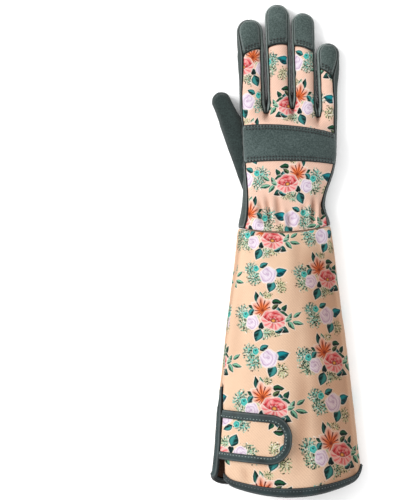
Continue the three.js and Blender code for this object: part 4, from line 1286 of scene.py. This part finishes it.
def plain_cloth(name, colour):
    material, pen, shader = new_material(name)
    twill = pen.use(TWILL, Vector=print_place(pen), Color=colour, Pitch=TWILL_PITCH).outputs
    values = dict(Base_Color=twill["Color"], Roughness=0.9, Specular_IOR_Level=0.15)
    surface(pen, shader, twill["Height"], 0.35, 0.0002, **values)
    return material


def suede(name, dark, light, sheen=0.1, width=0.2, deep=0.0, upper_side_shade=0.0):
    """Suede. With deep, it gets painted shade away from its seams, deep between two fingers, and the
    last share gives it painted shade on its upper sides, which face sideways, so that they are
    darker than the palm's face."""
    material, pen, shader = new_material(name)
    place = object_place(pen)
    nap = pen.use(NAP, Vector=place, Dark=dark, Light=light).outputs
    colour = nap["Color"]
    # Painted shade on the suede's upper sides, which face sideways, by height above the floor
    if upper_side_shade:
        colour = pen.layer(colour, hexed("18211f"), pen.split(place)[2], 0.002, 0.008, upper_side_shade)
    # Painted shade deep in the gaps between the fingers, away from the seams
    if deep:
        colour = pen.layer(colour, hexed("020303"), shade_of(pen, "seam"), 0.4, 0.3, deep)
    shade_seams(pen, shader, colour, (0.16, 0.18, 0.18), width, 0.05)
    surface(
        pen, shader, nap["Height"], 0.5, 0.0003, Roughness=nap["Roughness"],
        Specular_IOR_Level=0.1, Sheen_Weight=sheen, Sheen_Roughness=0.6,
    )
    return material


def tape(name, dark, light, roughness=0.6):
    material, pen, shader = new_material(name)
    ribs = pen.use(RIBBING, Vector=object_place(pen), Dark=dark, Light=light).outputs
    shade_seams(pen, shader, ribs["Color"], (0.22, 0.25, 0.25), 0.3, 0.03)
    values = dict(Roughness=roughness, Specular_IOR_Level=0.3)
    surface(pen, shader, ribs["Height"], 0.3, 0.0002, **values)
    return material


def thread(name, dark, light):
    material, pen, shader = new_material(name)
    twist = pen.noise(object_place(pen), 2200.0, 1.0)
    colour = pen.layer(dark, light, twist, 0.35, 0.65)
    surface(pen, shader, twist, 0.3, 0.0001, Base_Color=colour, Roughness=0.55)
    return material


cloth_of_cuff = printed_cloth("printed cuff cloth", hexed("f5cfb0"), (0.4, 0.26, 0.2))
cloth_of_back = printed_cloth("printed back cloth", hexed("fad0ba"), (0.3, 0.16, 0.13), 1.178)
# The inside of the cloth is dull dark brown: partly the cloth's back, partly painted shade of the
# cuff's hollow inside
shaded_cloth_back = plain_cloth("inside of the cuff", hexed("5c4030"))
selvedge = plain_cloth("cut edge of the cloth", hexed("e8c8b0"))
grey_suede = suede("grey suede", *hexes("2f3e3c 5b6a68"))
thumb_suede = suede("thumb suede", *hexes("1c2625 384644"))
cap_suede = suede("cap suede", *hexes("354340 5f6e6b"), width=0.07)
# The suede between the fingers is paler than the grey suede, as painted light against the shade of
# the narrow gaps, and gets painted shade deep in them
side_suede = suede("suede between the fingers", *hexes("606e6a 909d99"), width=0.09, deep=0.98)
# The palm suede gets painted shade on the sides of the hand
palm_suede = suede("palm suede", *hexes("4c5957 76827f"), upper_side_shade=0.6)
black_suede = suede("black tip suede", *hexes("0b0d0e 25292a"), sheen=0.05)
binding_tape = tape("slate binding tape", *hexes("10201f 33494a"))
hem_tape = tape("dark hem tape", *hexes("081314 22383a"))
hook_tape = tape("hook tape", *hexes("30383a 5a6466"), roughness=0.9)
strap_thread = thread("thread of the strap", *hexes("6b7f7e aab9b5"))
grey_thread = thread("grey thread", *hexes("39454a 5f6c6d"))
black_thread = thread("black thread", *hexes("010202 0a0e0f"))
# ---------------------------------------------------------------- sewn pieces

skin, upper, lower, outline, grown = make_glove_skin()
cuff_flat, cuff_side_flat = flatten_cuff(skin, upper, lower, outline)

# Folds, the lean of the cuff's far side and the softness of the cloth move the skin's points; the
# fold valleys and the leaning far side also get painted shade
plain_normals = skin.normals()
backs = [upper] + [grids[0] for grids in grown.values()]
upper_ids = {i for grid in backs for row in grid for i in row}
for i, point in enumerate(skin.points):
    x, y, z = point
    rise = 0.0
    if i in upper_ids:
        for depth, folds in ((GATHER_DEPTH, GATHERS), (FOLD_DEPTH, CUFF_FOLDS)):
            rise += depth * fold_height(x, y, folds)
        # Painted shade in the fold valleys, by their depth
        skin.crease[i] = clamp(-rise / LEAN_DROP)
        if y < 0:
            px, py = to_photo(x, y)
            start = 282 + 0.1 * (py - 235)
            lean = smooth(px, start, start + 30) * smooth(-y, 4, 40)
            rise -= LEAN_DROP * lean
            # Painted shade over the cuff's far side, which leans away from the light
            skin.crease[i] = max(skin.crease[i], lean)
    if z > SOLE_TOP:
        for most, size, seed in CUFF_WAVES if y < 0 else HAND_WAVES:
            rise += most * soft_noise(x, y, z, size, seed)
    skin.points[i] = point + plain_normals[i] * rise

# The cuff's cloth gets painted shade where it folds over at its two sides
for pair in outline:
    if pair["row"] < WRIST_ROW and pair["side"] in ("thumb", "little"):
        for i, share in zip(pair["ids"], SIDE_SHADES):
            skin.crease[i] = max(skin.crease.get(i, 0.0), share)

# The slit's corner on the palm side hangs a little lower than the hem in front of it
corner = skin.points[outline[0]["ids"][1]].copy()
for i, point in enumerate(skin.points):
    if i not in upper_ids:
        share = math.exp(-(((point.x - corner.x) / 11) ** 2) - ((point.y - corner.y) / 22) ** 2)
        skin.points[i] = point + CORNER_DROP * share

for i in cuff_flat:
    skin.flat[i] = cuff_flat[i]
normals = skin.normals()


def faces_of(*names, flat=None):
    """The faces of some pieces, with UVs of their own where flat gives them."""
    return [(name, ids, flat and flat(ids)) for name, ids, _ in skin.faces if name in names]


def cuff_uvs(corners):
    """The cuff's print runs on over each side of its seam."""
    if all(i in cuff_side_flat for i in corners):
        return [cuff_side_flat[i] for i in corners]
    return [cuff_flat.get(i, (0, 0)) for i in corners]


def hand_uvs(corners):
    return [hand_print(*skin.points[i].xy) for i in corners]


def stand_for(piece, node):
    """The piece rides on the glove and stands for its CAD node, which it hides."""
    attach(piece, "root")
    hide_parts(node)


def sew(name, slot, faces, materials, source=None, **wall):
    """One sewn piece that stands for its node of the same name."""
    source_normals = source.normals() if source else normals
    made = wall_over(source or skin, source_normals, faces, **wall)
    points, polygons, flats, sides, shades = made
    slots = [min(side, len(materials) - 1) for side in sides]
    piece = make_piece(name + "_sewn", points, polygons, materials, flats, slots, shades)
    stand_for(piece, name)
    return piece


sew(
    "cuff", "floral_cloth", faces_of("cuff", flat=cuff_uvs), [cloth_of_cuff, shaded_cloth_back, selvedge],
    wall=CLOTH_WALL, groove=0.8, pucker=0.35, seed=2.2,
)
sew(
    "hand_back", "floral_cloth", faces_of("hand_back", "under_band", flat=hand_uvs),
    [cloth_of_back, shaded_cloth_back, selvedge],
    wall=CLOTH_WALL, groove=0.9, groove_width=1.4, pucker=0.5, seed=4.1,
)
band = sew(
    "knuckle_band", "grey_suede", faces_of("under_band"), [grey_suede],
    raise_by=LAY_GAP + SUEDE_WALL, wall=SUEDE_WALL, gap=0, groove=0.35, groove_width=1.0, seed=3.0,
)
caps, patches = {}, {}
for name in grown:
    caps[name] = sew(
        f"cap_{name}", "grey_suede", faces_of(f"cap_{name}"), [cap_suede], raise_by=CAP_RAISE,
        wall=SUEDE_WALL + CAP_RAISE, groove=0.5, groove_width=1.1, pucker=0.25, seed=6.0,
    )
    touch = name in ("index", "middle")
    patches[name] = sew(
        f"{'touch_tip' if touch else 'tip_patch'}_{name}", "black_suede" if touch else "grey_suede",
        faces_of(f"pad_{name}"), [black_suede if touch else palm_suede],
        wall=SUEDE_WALL, groove=0.6, pucker=0.2, seed=7.0,
    )
for name in FORCHETTES:
    sew(
        name, "grey_suede", faces_of(name), [side_suede],
        wall=SUEDE_WALL, groove=0.4, pucker=0.2, seed=9.0,
    )
def make_thumb_skin():
    """The thumb: a digit of its own, turned out from the hand."""
    made = Skin()
    n = FINGER_COLUMNS
    base_upper, base_lower = (
        [made.add(digit_point(THUMB, 0, i / n, palm_side)) for i in range(n + 1)]
        for palm_side in (False, True)
    )
    names = dict(back="thumb_back", cap="thumb_back", palm="thumb_front", pad="touch_tip_thumb")
    side = digit_outline(*grow_digit(made, THUMB, base_upper, base_lower, names), THUMB)
    for pair in side:
        pair["inset"] = SEAM_INSET

    def piece_of(k, step):
        return names["pad"] if is_pad_side(side[k], side[k + 1], step) else names["back"]

    grow_ribbon(made, side, piece_of)
    turn = Matrix.Rotation(math.radians(THUMB_LEAN), 4, "Z")
    turn.translation = (section_value("centre", 0.21 * PALM_LENGTH) - THUMB_OUT, THUMB_RISE, 0)
    made.points = [turn @ p for p in made.points]
    for i, (p, normal) in enumerate(zip(list(made.points), made.normals())):
        made.points[i] = p + normal * (0.4 * soft_noise(*p, 16, 2.0) + 0.2 * soft_noise(*p, 6, 4.0))
    return made


thumb_skin = make_thumb_skin()
hand_faces = [f[1] for f in skin.faces if f[0] not in ("cuff", "slit")]
hand_tree = BVHTree.FromPolygons(skin.points, hand_faces)
thumb_tree = BVHTree.FromPolygons(thumb_skin.points, [f[1] for f in thumb_skin.faces])


def outside_of(tree, faces, source):
    """The faces that don't lie more than 1 mm inside another skin with all their corners."""

    def buried(i):
        found, normal, _, distance = tree.find_nearest(source.points[i])
        return distance > 1 and (source.points[i] - found).dot(normal) < 0

    return [face for face in faces if not all(buried(i) for i in face[1])]


sew(
    "palm", "grey_suede", outside_of(thumb_tree, faces_of("palm"), skin), [palm_suede],
    wall=SUEDE_WALL, groove=0.7, pucker=0.3, seed=11.0,
)
for name, slot, material in (
    ("thumb_back", "grey_suede", thumb_suede),
    ("thumb_front", "grey_suede", palm_suede),
    ("touch_tip_thumb", "black_suede", black_suede),
):
    faces = outside_of(hand_tree, [f for f in thumb_skin.faces if f[0] == name], thumb_skin)
    sew(
        name, slot, faces, [material], source=thumb_skin,
        wall=SUEDE_WALL, groove=0.6, pucker=0.3, seed=13.0,
    )

# ---------------------------------------------------------------- tapes and strap
# Seam shade round the tape's profile: dark at its free edge and over its nose
TAPE_SHADES = [1, 0.9, 0.4, 0.1, 0, 0.2, 0.5, 0.66, 0.78, 0.9, 1, 1, 0.8, 0.5, 0.9, 1, 1, 1, 1]


def fold_tape(stations, puff):
    """Binding tape folded over the cloth's edge, as a soft round-nosed fold. Each station holds the
    edge's point on the outer face, the normal, the direction off the edge and the tape's reach."""
    over, under = LAY_GAP + TAPE_WALL, -CLOTH_WALL - LAY_GAP - TAPE_WALL
    middle, radius = (over + under) / 2, (over - under) / 2

    def profile_at(reach):
        made = [(over - 0.45, -reach - 0.1)]
        for t in (0, 0.2, 0.4, 0.6, 0.8, 1):
            made.append((over + puff * math.sin(math.pi * t), lerp(-reach + 0.25, -0.3, t)))
        for turn in map(math.radians, (65, 35, 0, -35, -65)):
            made.append((middle + radius * math.sin(turn), -0.3 + (radius + 0.2) * math.cos(turn)))
        made += [(under, -0.3), (under, -0.5 * reach), (under, -reach + 0.3)]
        made += [(under + TAPE_WALL, -reach), (under + TAPE_WALL, LAY_GAP)]
        return made + [(LAY_GAP, LAY_GAP), (LAY_GAP, -reach)]

    points = []
    for point, normal, off, reach, *narrow in stations:
        k = narrow[0] if narrow else 1
        for up, out in profile_at(reach):
            points.append(point + normal * (middle + (up - middle) * k) + off * out * k)
    size = len(TAPE_SHADES)
    around = [(i, (i + 1) % size) for i in range(size)]
    last = (len(stations) - 1) * size
    polygons = [
        (k + i, k + j, k + size + j, k + size + i) for k in range(0, last, size) for i, j in around
    ]
    for start in (0, last):
        points.append(sum((points[start + i] for i in range(size)), Vector()) / size)
        for i, j in around:
            corners = (start + j, start + i, len(points) - 1)
            polygons.append(corners if start == 0 else corners[::-1])
    return points, polygons, {"seam": TAPE_SHADES * len(stations) + [1.0, 1.0]}


def edge_station(edge, insides, reach):
    offs = []
    for inside in insides:
        off = skin.points[edge] - skin.points[inside]
        offs.append((off - normals[edge] * normals[edge].dot(off)).normalized())
    spread = 1 + offs[0].dot(offs[1]) if len(offs) > 1 else 1
    return [skin.points[edge].copy(), normals[edge].copy(), sum(offs, Vector()) / spread, reach]


def hem_tape_stations():
    """Round the hem from the slit's front, over the far side and back, then up the slit."""
    far0, far1 = outline[-1]["ids"], outline[-2]["ids"]
    near = [pair["ids"] for pair in outline[: SLIT_ROWS + 1]]

    def at_hem(i, inside):
        aside = min(abs(skin.points[i].x) / (HEM_WIDTH / 2), 1)
        return edge_station(i, [inside], lerp(HEM_TAPE, HEM_TAPE_AT_SIDES, aside**2))

    def at_side(i, *insides):
        return edge_station(i, insides, HEM_TAPE_AT_SIDES)

    stations = [at_hem(*ids) for ids in zip(upper[0], upper[1])]
    stations += [at_side(far0[s], far1[s]) for s in range(1, RIBBON_STEPS)]
    stations += [at_hem(*ids) for ids in zip(lower[0][::-1], lower[1][::-1])]
    stations += [at_side(near[0][s], near[1][s]) for s in range(RIBBON_STEPS - 1, 1, -1)]
    hem_count = len(stations)
    stations.append(at_side(near[0][1], near[1][1], near[0][2]))
    for ids in near[1:SLIT_ROWS]:
        room = (skin.points[ids[1]] - skin.points[ids[4]]).length
        stations.append(edge_station(ids[1], [ids[2]], min(SLIT_TAPE, 0.85 * room)))
    return stations, hem_count


def smooth_stations(stations):
    """Evens out the directions of neighbouring stations, so that the tape turns softly."""
    for _ in range(2):
        copy = [[s[0].copy(), s[1].copy(), s[2].copy(), s[3]] for s in stations]
        for k in range(1, len(stations) - 1):
            for j in (0, 1, 2):
                mean = (copy[k - 1][j] + copy[k + 1][j]) / 2
                stations[k][j] = copy[k][j].lerp(mean, 0.35)
            stations[k][1].normalize()
    return stations


hem_stations, hem_count = hem_tape_stations()
hem_stations = smooth_stations(hem_stations)
for k in range(1, 10):
    hem_stations[-k].append(0.4 + 0.6 * smooth(k, 1, 10))
points, polygons, shades = fold_tape(hem_stations, 0.5)
hem_slots = [int(k >= hem_count - 1) for k in range(len(hem_stations) - 1)] + [0, 1]
hem_binding = make_piece(
    "hem_binding_folded", points, polygons, [hem_tape, binding_tape],
    slots=[slot for slot in hem_slots for _ in TAPE_SHADES], shades=shades, rounded=False,
)
stand_for(hem_binding, "hem_binding")
def cuff_top(x, y):
    sag = HEM_SAG * (1 - clamp(x / (HEM_WIDTH / 2), -1, 1) ** 2) * clamp(-y / CUFF_LENGTH)
    s = body_section(y + sag)
    if x >= s["near_edge"]:
        return upper_height((x - s["centre"]) / s["half"], s)
    share = math.asin(clamp((s["near_edge"] - x) / s["near"])) / math.pi
    reach = 1 - s["near"] / s["half"]
    return lerp(upper_height(reach, s), lower_height(reach, s), share)


strap_section = body_section(-CUFF_LENGTH * STRAP_RISE)
slit_at_strap = strap_section["near"] * math.sin(0.17 * math.pi)
STRAP_START = strap_section["near_edge"] - slit_at_strap + TAPE_WALL + 2 * LAY_GAP


def strap_point(along, across, height):
    turn = math.radians(STRAP_LEAN)
    x = STRAP_START + along * math.cos(turn) - across * math.sin(turn)
    y = -CUFF_LENGTH * STRAP_RISE + along * math.sin(turn) + across * math.cos(turn)
    steep = math.hypot(1, cuff_top(x + 0.5, y) - cuff_top(x - 0.5, y))
    wave = 0.5 + 0.5 * soft_noise(x, y, 0, 18, 6.6)
    z = cuff_top(x, y) + (TAPE_WALL + STRAP_LIFT + height) * min(steep, 2.5)
    return Vector((x, y, z + 0.5 * wave * smooth(along, 6, 30)))


def make_strap_skin():
    made = Skin()
    columns, straight = 22, 26
    rows = [((STRAP_LENGTH - STRAP_ROUND) * (r / straight) ** 1.3, 1) for r in range(straight + 1)]
    for angle in map(math.radians, (8, 16, 24, 32, 40, 48, 56, 64, 71, 77)):
        reach = (STRAP_ROUND - LAY_GAP - TAPE_WALL) * math.sin(angle)
        rows.append((STRAP_LENGTH - STRAP_ROUND + reach, math.cos(angle)))
    half = STRAP_WIDTH / 2 - LAY_GAP - TAPE_WALL
    ids = []
    for along, shrink in rows:
        across = [(2 * i / columns - 1) * half * shrink for i in range(columns + 1)]
        line = [strap_point(along, a, CLOTH_WALL) for a in across]
        ids.append([made.add(point, strap_print(point.x, point.y)) for point in line])
    made.grid("strap", ids)
    return made, ids


strap_skin, strap_ids = make_strap_skin()
strap = sew(
    "strap", "floral_cloth", strap_skin.faces, [cloth_of_cuff, shaded_cloth_back, selvedge], source=strap_skin,
    wall=CLOTH_WALL, gap=0, seed=15.0,
)


def strap_tape_stations():
    path = [row[0] for row in strap_ids] + strap_ids[-1][1:-1]
    path += [row[-1] for row in reversed(strap_ids)]
    reach = STRAP_TAPE - LAY_GAP - TAPE_WALL
    line, normals_at = [strap_skin.points[i] for i in path], strap_skin.normals()
    stations = []
    for k, i in enumerate(path):
        along = (line[min(k + 1, len(path) - 1)] - line[max(k - 1, 0)]).normalized()
        off = along.cross(normals_at[i]).normalized()
        stations.append([line[k].copy(), normals_at[i].copy(), off, reach])
    return stations


strap_stations = smooth_stations(strap_tape_stations())
points, polygons, shades = fold_tape(strap_stations, 0.7)
strap_binding = make_piece(
    "strap_binding_folded", points, polygons, [binding_tape], shades=shades, rounded=False
)
stand_for(strap_binding, "strap_binding")


def make_hook_patch():
    patch = Skin()
    length, width = HOOK_PATCH
    middle = STRAP_LENGTH - STRAP_ROUND - length / 4
    ids = []
    shares = np.linspace(-1, 1, 9)
    for a in shares:
        line = [strap_point(middle + a * length / 2, b * width / 2, 0) for b in shares]
        ids.append([patch.add(point - Vector((0, 0, STRAP_LIFT))) for point in line])
    patch.grid("hook_patch", ids)
    return patch


patch_skin = make_hook_patch()
sew(
    "hook_patch", "hook_tape", patch_skin.faces, [hook_tape], source=patch_skin,
    wall=TAPE_WALL - LAY_GAP, gap=0,
)
# ---------------------------------------------------------------- the quilted pad

PAD_OUTLINE = [
    (-0.776, 1.067), (-0.05, 1.084), (0.4, 1.0), (0.62, 1.025), (0.825, 0.922), (0.83, 0.64),
    (0.735, 0.4), (0.55, 0.295), (0.2, 0.255), (-0.1, 0.23), (-0.325, 0.29), (-0.5, 0.41),
    (-0.676, 0.63), (-0.815, 0.85), (-0.86, 0.96),
]


def pad_place(across, along):
    at = min(along, 1) * PALM_LENGTH
    return body_section(at)["centre"] + across * PALM_WIDTH / 2, along * PALM_LENGTH


def closed_curve(points):
    """A smooth closed curve through some points in plan, with six steps to a span."""
    made = []
    n = len(points)
    for k in range(n):
        p = [np.array(points[(k + j) % n]) for j in (-1, 0, 1, 2)]
        for t in np.arange(6) / 6:
            made.append(tuple(0.5 * (
                2 * p[1] + (p[2] - p[0]) * t + (2 * p[0] - 5 * p[1] + 4 * p[2] - p[3]) * t * t
                + (3 * p[1] - p[0] - 3 * p[2] + p[3]) * t**3
            )))
    return made


def other_glove(px, py):
    """Place on the palm of a place on the other glove, which shows its palm in the photograph."""
    return from_photo(289.5 + (px - 131.3) * 0.95, py)


PAD_CHANNELS = [
    [(92.7, 133.6), (104, 133.4), (116, 134), (126, 138.5), (135, 143), (146, 147), (154, 149)],
    [
        (154, 142), (163, 150), (164, 160), (163, 170), (159, 178), (154, 185), (145, 186),
        (139, 179), (137, 171), (145, 166), (154, 161), (155, 152),
    ],
    [(95, 147), (106, 146), (116, 142), (126, 141), (135, 144)],
    [
        (108, 123), (119.5, 121), (132, 122), (146, 124.5), (158, 128), (162, 133), (159, 137),
        (144, 134), (128, 131), (116, 127), (108, 123),
    ],
    [
        (105.5, 154), (113, 151), (130, 154), (132, 157), (128, 165), (127, 180), (127, 193),
        (122, 192), (115, 182), (109, 171), (105, 158), (105.5, 154),
    ],
]
PAD_GRID = 1.25


def segment_distance(x, y, line):
    best = 1e9
    for (x0, y0), (x1, y1) in zip(line, line[1:]):
        dx, dy = x1 - x0, y1 - y0
        t = clamp(((x - x0) * dx + (y - y0) * dy) / max(dx * dx + dy * dy, 1e-9))
        best = min(best, math.hypot(x - x0 - t * dx, y - y0 - t * dy))
    return best


def inside_curve(x, y, curve):
    odd = False
    for (x0, y0), (x1, y1) in zip(curve, curve[1:] + curve[:1]):
        if (y0 > y) != (y1 > y) and x < (x1 - x0) * (y - y0) / (y1 - y0) + x0:
            odd = not odd
    return odd


def make_pad():
    """A quilted pad on a fine grid: its top lies on the palm, and its bottom thins out to its edge
    and puffs between the stitched channels."""
    curve = closed_curve([pad_place(*p) for p in PAD_OUTLINE])
    channels = [[other_glove(*p) for p in line] for line in PAD_CHANNELS]
    xs, ys = zip(*curve)
    x0, y0 = min(xs) - PAD_GRID, min(ys) - PAD_GRID
    nx, ny = (int((max(v) - min(v)) / PAD_GRID) + 3 for v in (xs, ys))
    keep, bottom = {}, []
    for j in range(ny):
        for i in range(nx):
            x, y = x0 + i * PAD_GRID, y0 + j * PAD_GRID
            if inside_curve(x, y, curve):
                keep[(i, j)] = len(bottom)
                edge = segment_distance(x, y, curve + curve[:1])
                channel = min(segment_distance(x, y, line) for line in channels)
                thin = 1 - min(1, math.sqrt(max(edge, 0) / 4.0))
                dent = math.exp(-((channel / 1.3) ** 2))
                z = 0.05 + thin * 1.3 + 1.35 * dent + 0.08 * soft_noise(x, y, 0, 4, 3.0)
                bottom.append((x, y, z))
    n = len(bottom)
    points = bottom + [(x, y, PAD_THICKNESS) for x, y, _ in bottom]
    quads = []
    for i, j in keep:
        quad = [keep.get(at) for at in ((i, j), (i, j + 1), (i + 1, j + 1), (i + 1, j))]
        if None not in quad:
            quads.append(quad)
    polygons = quads + [[i + n for i in reversed(quad)] for quad in quads]
    polygons += [[b, a, a + n, b + n] for a, b in open_edges(quads)]
    used = sorted({i for polygon in polygons for i in polygon})
    order = {i: k for k, i in enumerate(used)}
    return [points[i] for i in used], [[order[i] for i in p] for p in polygons], channels


points, polygons, pad_channels = make_pad()
palm_pad = make_piece("palm_pad_quilted", points, polygons, [palm_suede])
smoothing = palm_pad.modifiers.new("rounding of the edge", "SMOOTH")
smoothing.factor = 0.5
smoothing.iterations = 2
palm_pad.modifiers.move(1, 0)
stand_for(palm_pad, "palm_pad")

# ---------------------------------------------------------------- stitches


def stitch_shape(length, radius):
    """One stitch along X: a short bead with round ends, in 20 faces."""
    points_made, faces_made = [], []
    for x, r in ((-0.5, 0.35), (-0.3, 1), (0.3, 1), (0.5, 0.35)):
        for turn in (math.pi * k / 3 for k in range(6)):
            points_made.append(
                Vector((x * length, r * radius * math.cos(turn), r * radius * math.sin(turn)))
            )
    for ring in (0, 6, 12):
        for a, b in ((ring + k, ring + (k + 1) % 6) for k in range(6)):
            faces_made.append((a, a + 6, b + 6, b))
    faces_made += [tuple(range(6)), tuple(range(23, 17, -1))]
    return points_made, faces_made


def lay_stitches(name, spots, material, length, radius):
    """Stitches at (point, normal, along) spots, in millimetres of the wrist frame."""
    shape, faces_made = stitch_shape(length, radius)
    points, polygons = [], []
    for point, normal, along in spots:
        side = normal.cross(along).normalized()
        ahead = side.cross(normal).normalized()
        polygons += [tuple(i + len(points) for i in face) for face in faces_made]
        points += [point + ahead * p.x + side * p.y + normal * p.z for p in shape]
    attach(make_piece(name, points, polygons, [material], rounded=False), "root")


def spaced(line, step):
    """Places a step apart along a line in plan, with its direction at each."""
    made, left = [], 0.5 * step
    for (x0, y0), (x1, y1) in zip(line, line[1:]):
        length = math.hypot(x1 - x0, y1 - y0)
        while left <= length:
            t = left / length
            made.append((lerp(x0, x1, t), lerp(y0, y1, t), (x1 - x0) / length, (y1 - y0) / length))
            left += step
        left -= length
    return made


def stitches_on(piece, lines, step, lift, from_below=False):
    """Spots for stitches along lines in plan, on a piece's finished surface."""
    mesh = piece.evaluated_get(bpy.context.evaluated_depsgraph_get()).to_mesh()
    points = [v.co / MM - SHIFT for v in mesh.vertices]
    tree = BVHTree.FromPolygons(points, [list(p.vertices) for p in mesh.polygons])
    start_z, way = (-60, 1) if from_below else (120, -1)
    spots = []
    for x, y, dx, dy in (place for line in lines for place in spaced(line, step)):
        found, normal, _, _ = tree.ray_cast(Vector((x, y, start_z)), Vector((0, 0, way)))
        if found:
            normal = normal if normal.z * way < 0 else -normal
            spots.append((found + normal * lift, normal, Vector((dx, dy, 0))))
    return spots


def shifted_row(row_a, row_b, distance):
    """A line in plan that runs a distance inside one row of the skin, towards another."""
    made = []
    for a, b in zip(upper[row_a], upper[row_b]):
        p, q = skin.points[a], skin.points[b]
        made.append(tuple((p + (q - p).normalized() * distance).xy))
    return made[1:-1]


def rows_along(ids, distances):
    """Lines in plan that run at some distances beyond a row of a finger's skin."""
    places = [skin.points[i] for i in ids[1:-1]]
    return [[(p.x, p.y + distance) for p in places] for distance in distances]


bpy.context.view_layer.update()
band_edges = ((BAND_HIGH_ROW, BAND_LOW_ROW), (BAND_LOW_ROW, BAND_HIGH_ROW))
lines = [shifted_row(*rows, distance) for rows in band_edges for distance in (2.0, 4.6)]
lay_stitches("stitches_of_the_band", stitches_on(band, lines, 3.0, 0.3), black_thread, 1.9, 0.66)

spots = []
for name, cap in caps.items():
    spots += stitches_on(cap, rows_along(grown[name][0][CAP_ROW], (3.0, 5.4)), 3.2, 0.35)
lay_stitches("stitches_of_the_caps", spots, black_thread, 1.9, 0.72)
def station_stitches(stations, share, step, lift):
    """Stitches along a tape, at a share of its reach from the edge."""
    made, left = [], 0.5 * step
    for a, b in zip(stations, stations[1:]):
        pa = a[0] - a[2] * a[3] * share
        pb = b[0] - b[2] * b[3] * share
        length = (pb - pa).length
        while left <= length and length > 1e-6:
            t = left / length
            normal = a[1].lerp(b[1], t).normalized()
            up = LAY_GAP + TAPE_WALL + lift
            made.append((pa.lerp(pb, t) + normal * up, normal, (pb - pa).normalized()))
            left += step
        left -= length
    return made


for name, stations, share, lift, material in (
    ("strap", strap_stations, 0.66, 0.62, strap_thread),
    ("hem", hem_stations[:hem_count], 0.55, 0.5, grey_thread),
    ("slit", hem_stations[hem_count:-6], 0.5, 0.5, grey_thread),
):
    spots = station_stitches(stations, share, 3.1, lift)
    lay_stitches(f"stitches_of_the_{name}", spots, material, 1.6, 0.38)

inner = closed_curve([pad_place(a * 0.95, 0.65 + (b - 0.65) * 0.96) for a, b in PAD_OUTLINE])
spots = stitches_on(palm_pad, pad_channels, 2.6, 0.05, from_below=True)
spots += stitches_on(palm_pad, [inner + inner[:1]], 2.6, 0.02, from_below=True)
lay_stitches("stitches_of_the_pad", spots, grey_thread, 1.7, 0.3)

spots = []
for name in ("ring", "little"):
    lines = rows_along(grown[name][1][CAP_ROW], (1.8, 4.0))
    spots += stitches_on(patches[name], lines, 2.4, 0.05, from_below=True)
lay_stitches("stitches_of_the_patches", spots, grey_thread, 1.6, 0.28)

# ---------------------------------------------------------------- studio


def make_floor():
    ground = bpy.data.meshes.new("studio_floor")
    ground.from_pydata([(-3, -3, 0), (3, -3, 0), (3, 3, 0), (-3, 3, 0)], [], [(0, 1, 2, 3)])
    material, pen, shader = new_material("pale floor")
    grain = pen.noise(object_place(pen), 40.0, 3.0)
    colour = pen.mix(grain, *[(white, white, white, 1) for white in (0.94, 0.96)])
    pen.fill(shader, Base_Color=colour, Roughness=0.9, Specular_IOR_Level=0.1)
    ground.materials.append(material)
    link("studio_floor", ground)


def make_light(name, place, size, power):
    """A square light that faces the middle of the object."""
    data = bpy.data.lights.new(name, "AREA")
    data.shape = "RECTANGLE"
    data.size = data.size_y = size
    data.energy = power
    made = link(name, data)
    made.location = place
    made.rotation_euler = (-Vector(place)).to_track_quat("-Z", "Y").to_euler()


def make_world():
    world = bpy.data.worlds.new("studio")
    bpy.context.scene.world = world
    world.use_nodes = True
    back = world.node_tree.nodes["Background"]
    back.inputs[0].default_value = (1, 1, 1, 1)
    back.inputs[1].default_value = WORLD_LIGHT
    bpy.context.scene.view_settings.view_transform = "Standard"


# Straight above the middle of the photograph's frame, in metres
CAMERA_PLACE = (-0.0849, -0.0016, 2.05)


def make_camera():
    """The photograph's view, straight down on the glove."""
    data = bpy.data.cameras.new("camera")
    data.lens = 150
    data.sensor_width = 36
    data.clip_start, data.clip_end = 0.05, 20
    camera = link("camera", data)
    camera.location = CAMERA_PLACE
    bpy.context.scene.camera = camera


make_floor()
make_light("soft key", (-1.6, 0.6, 1.4), 1.2, 58)
make_light("soft fill", (1.2, -0.6, 1.7), 1.8, 4)
make_world()
make_camera()
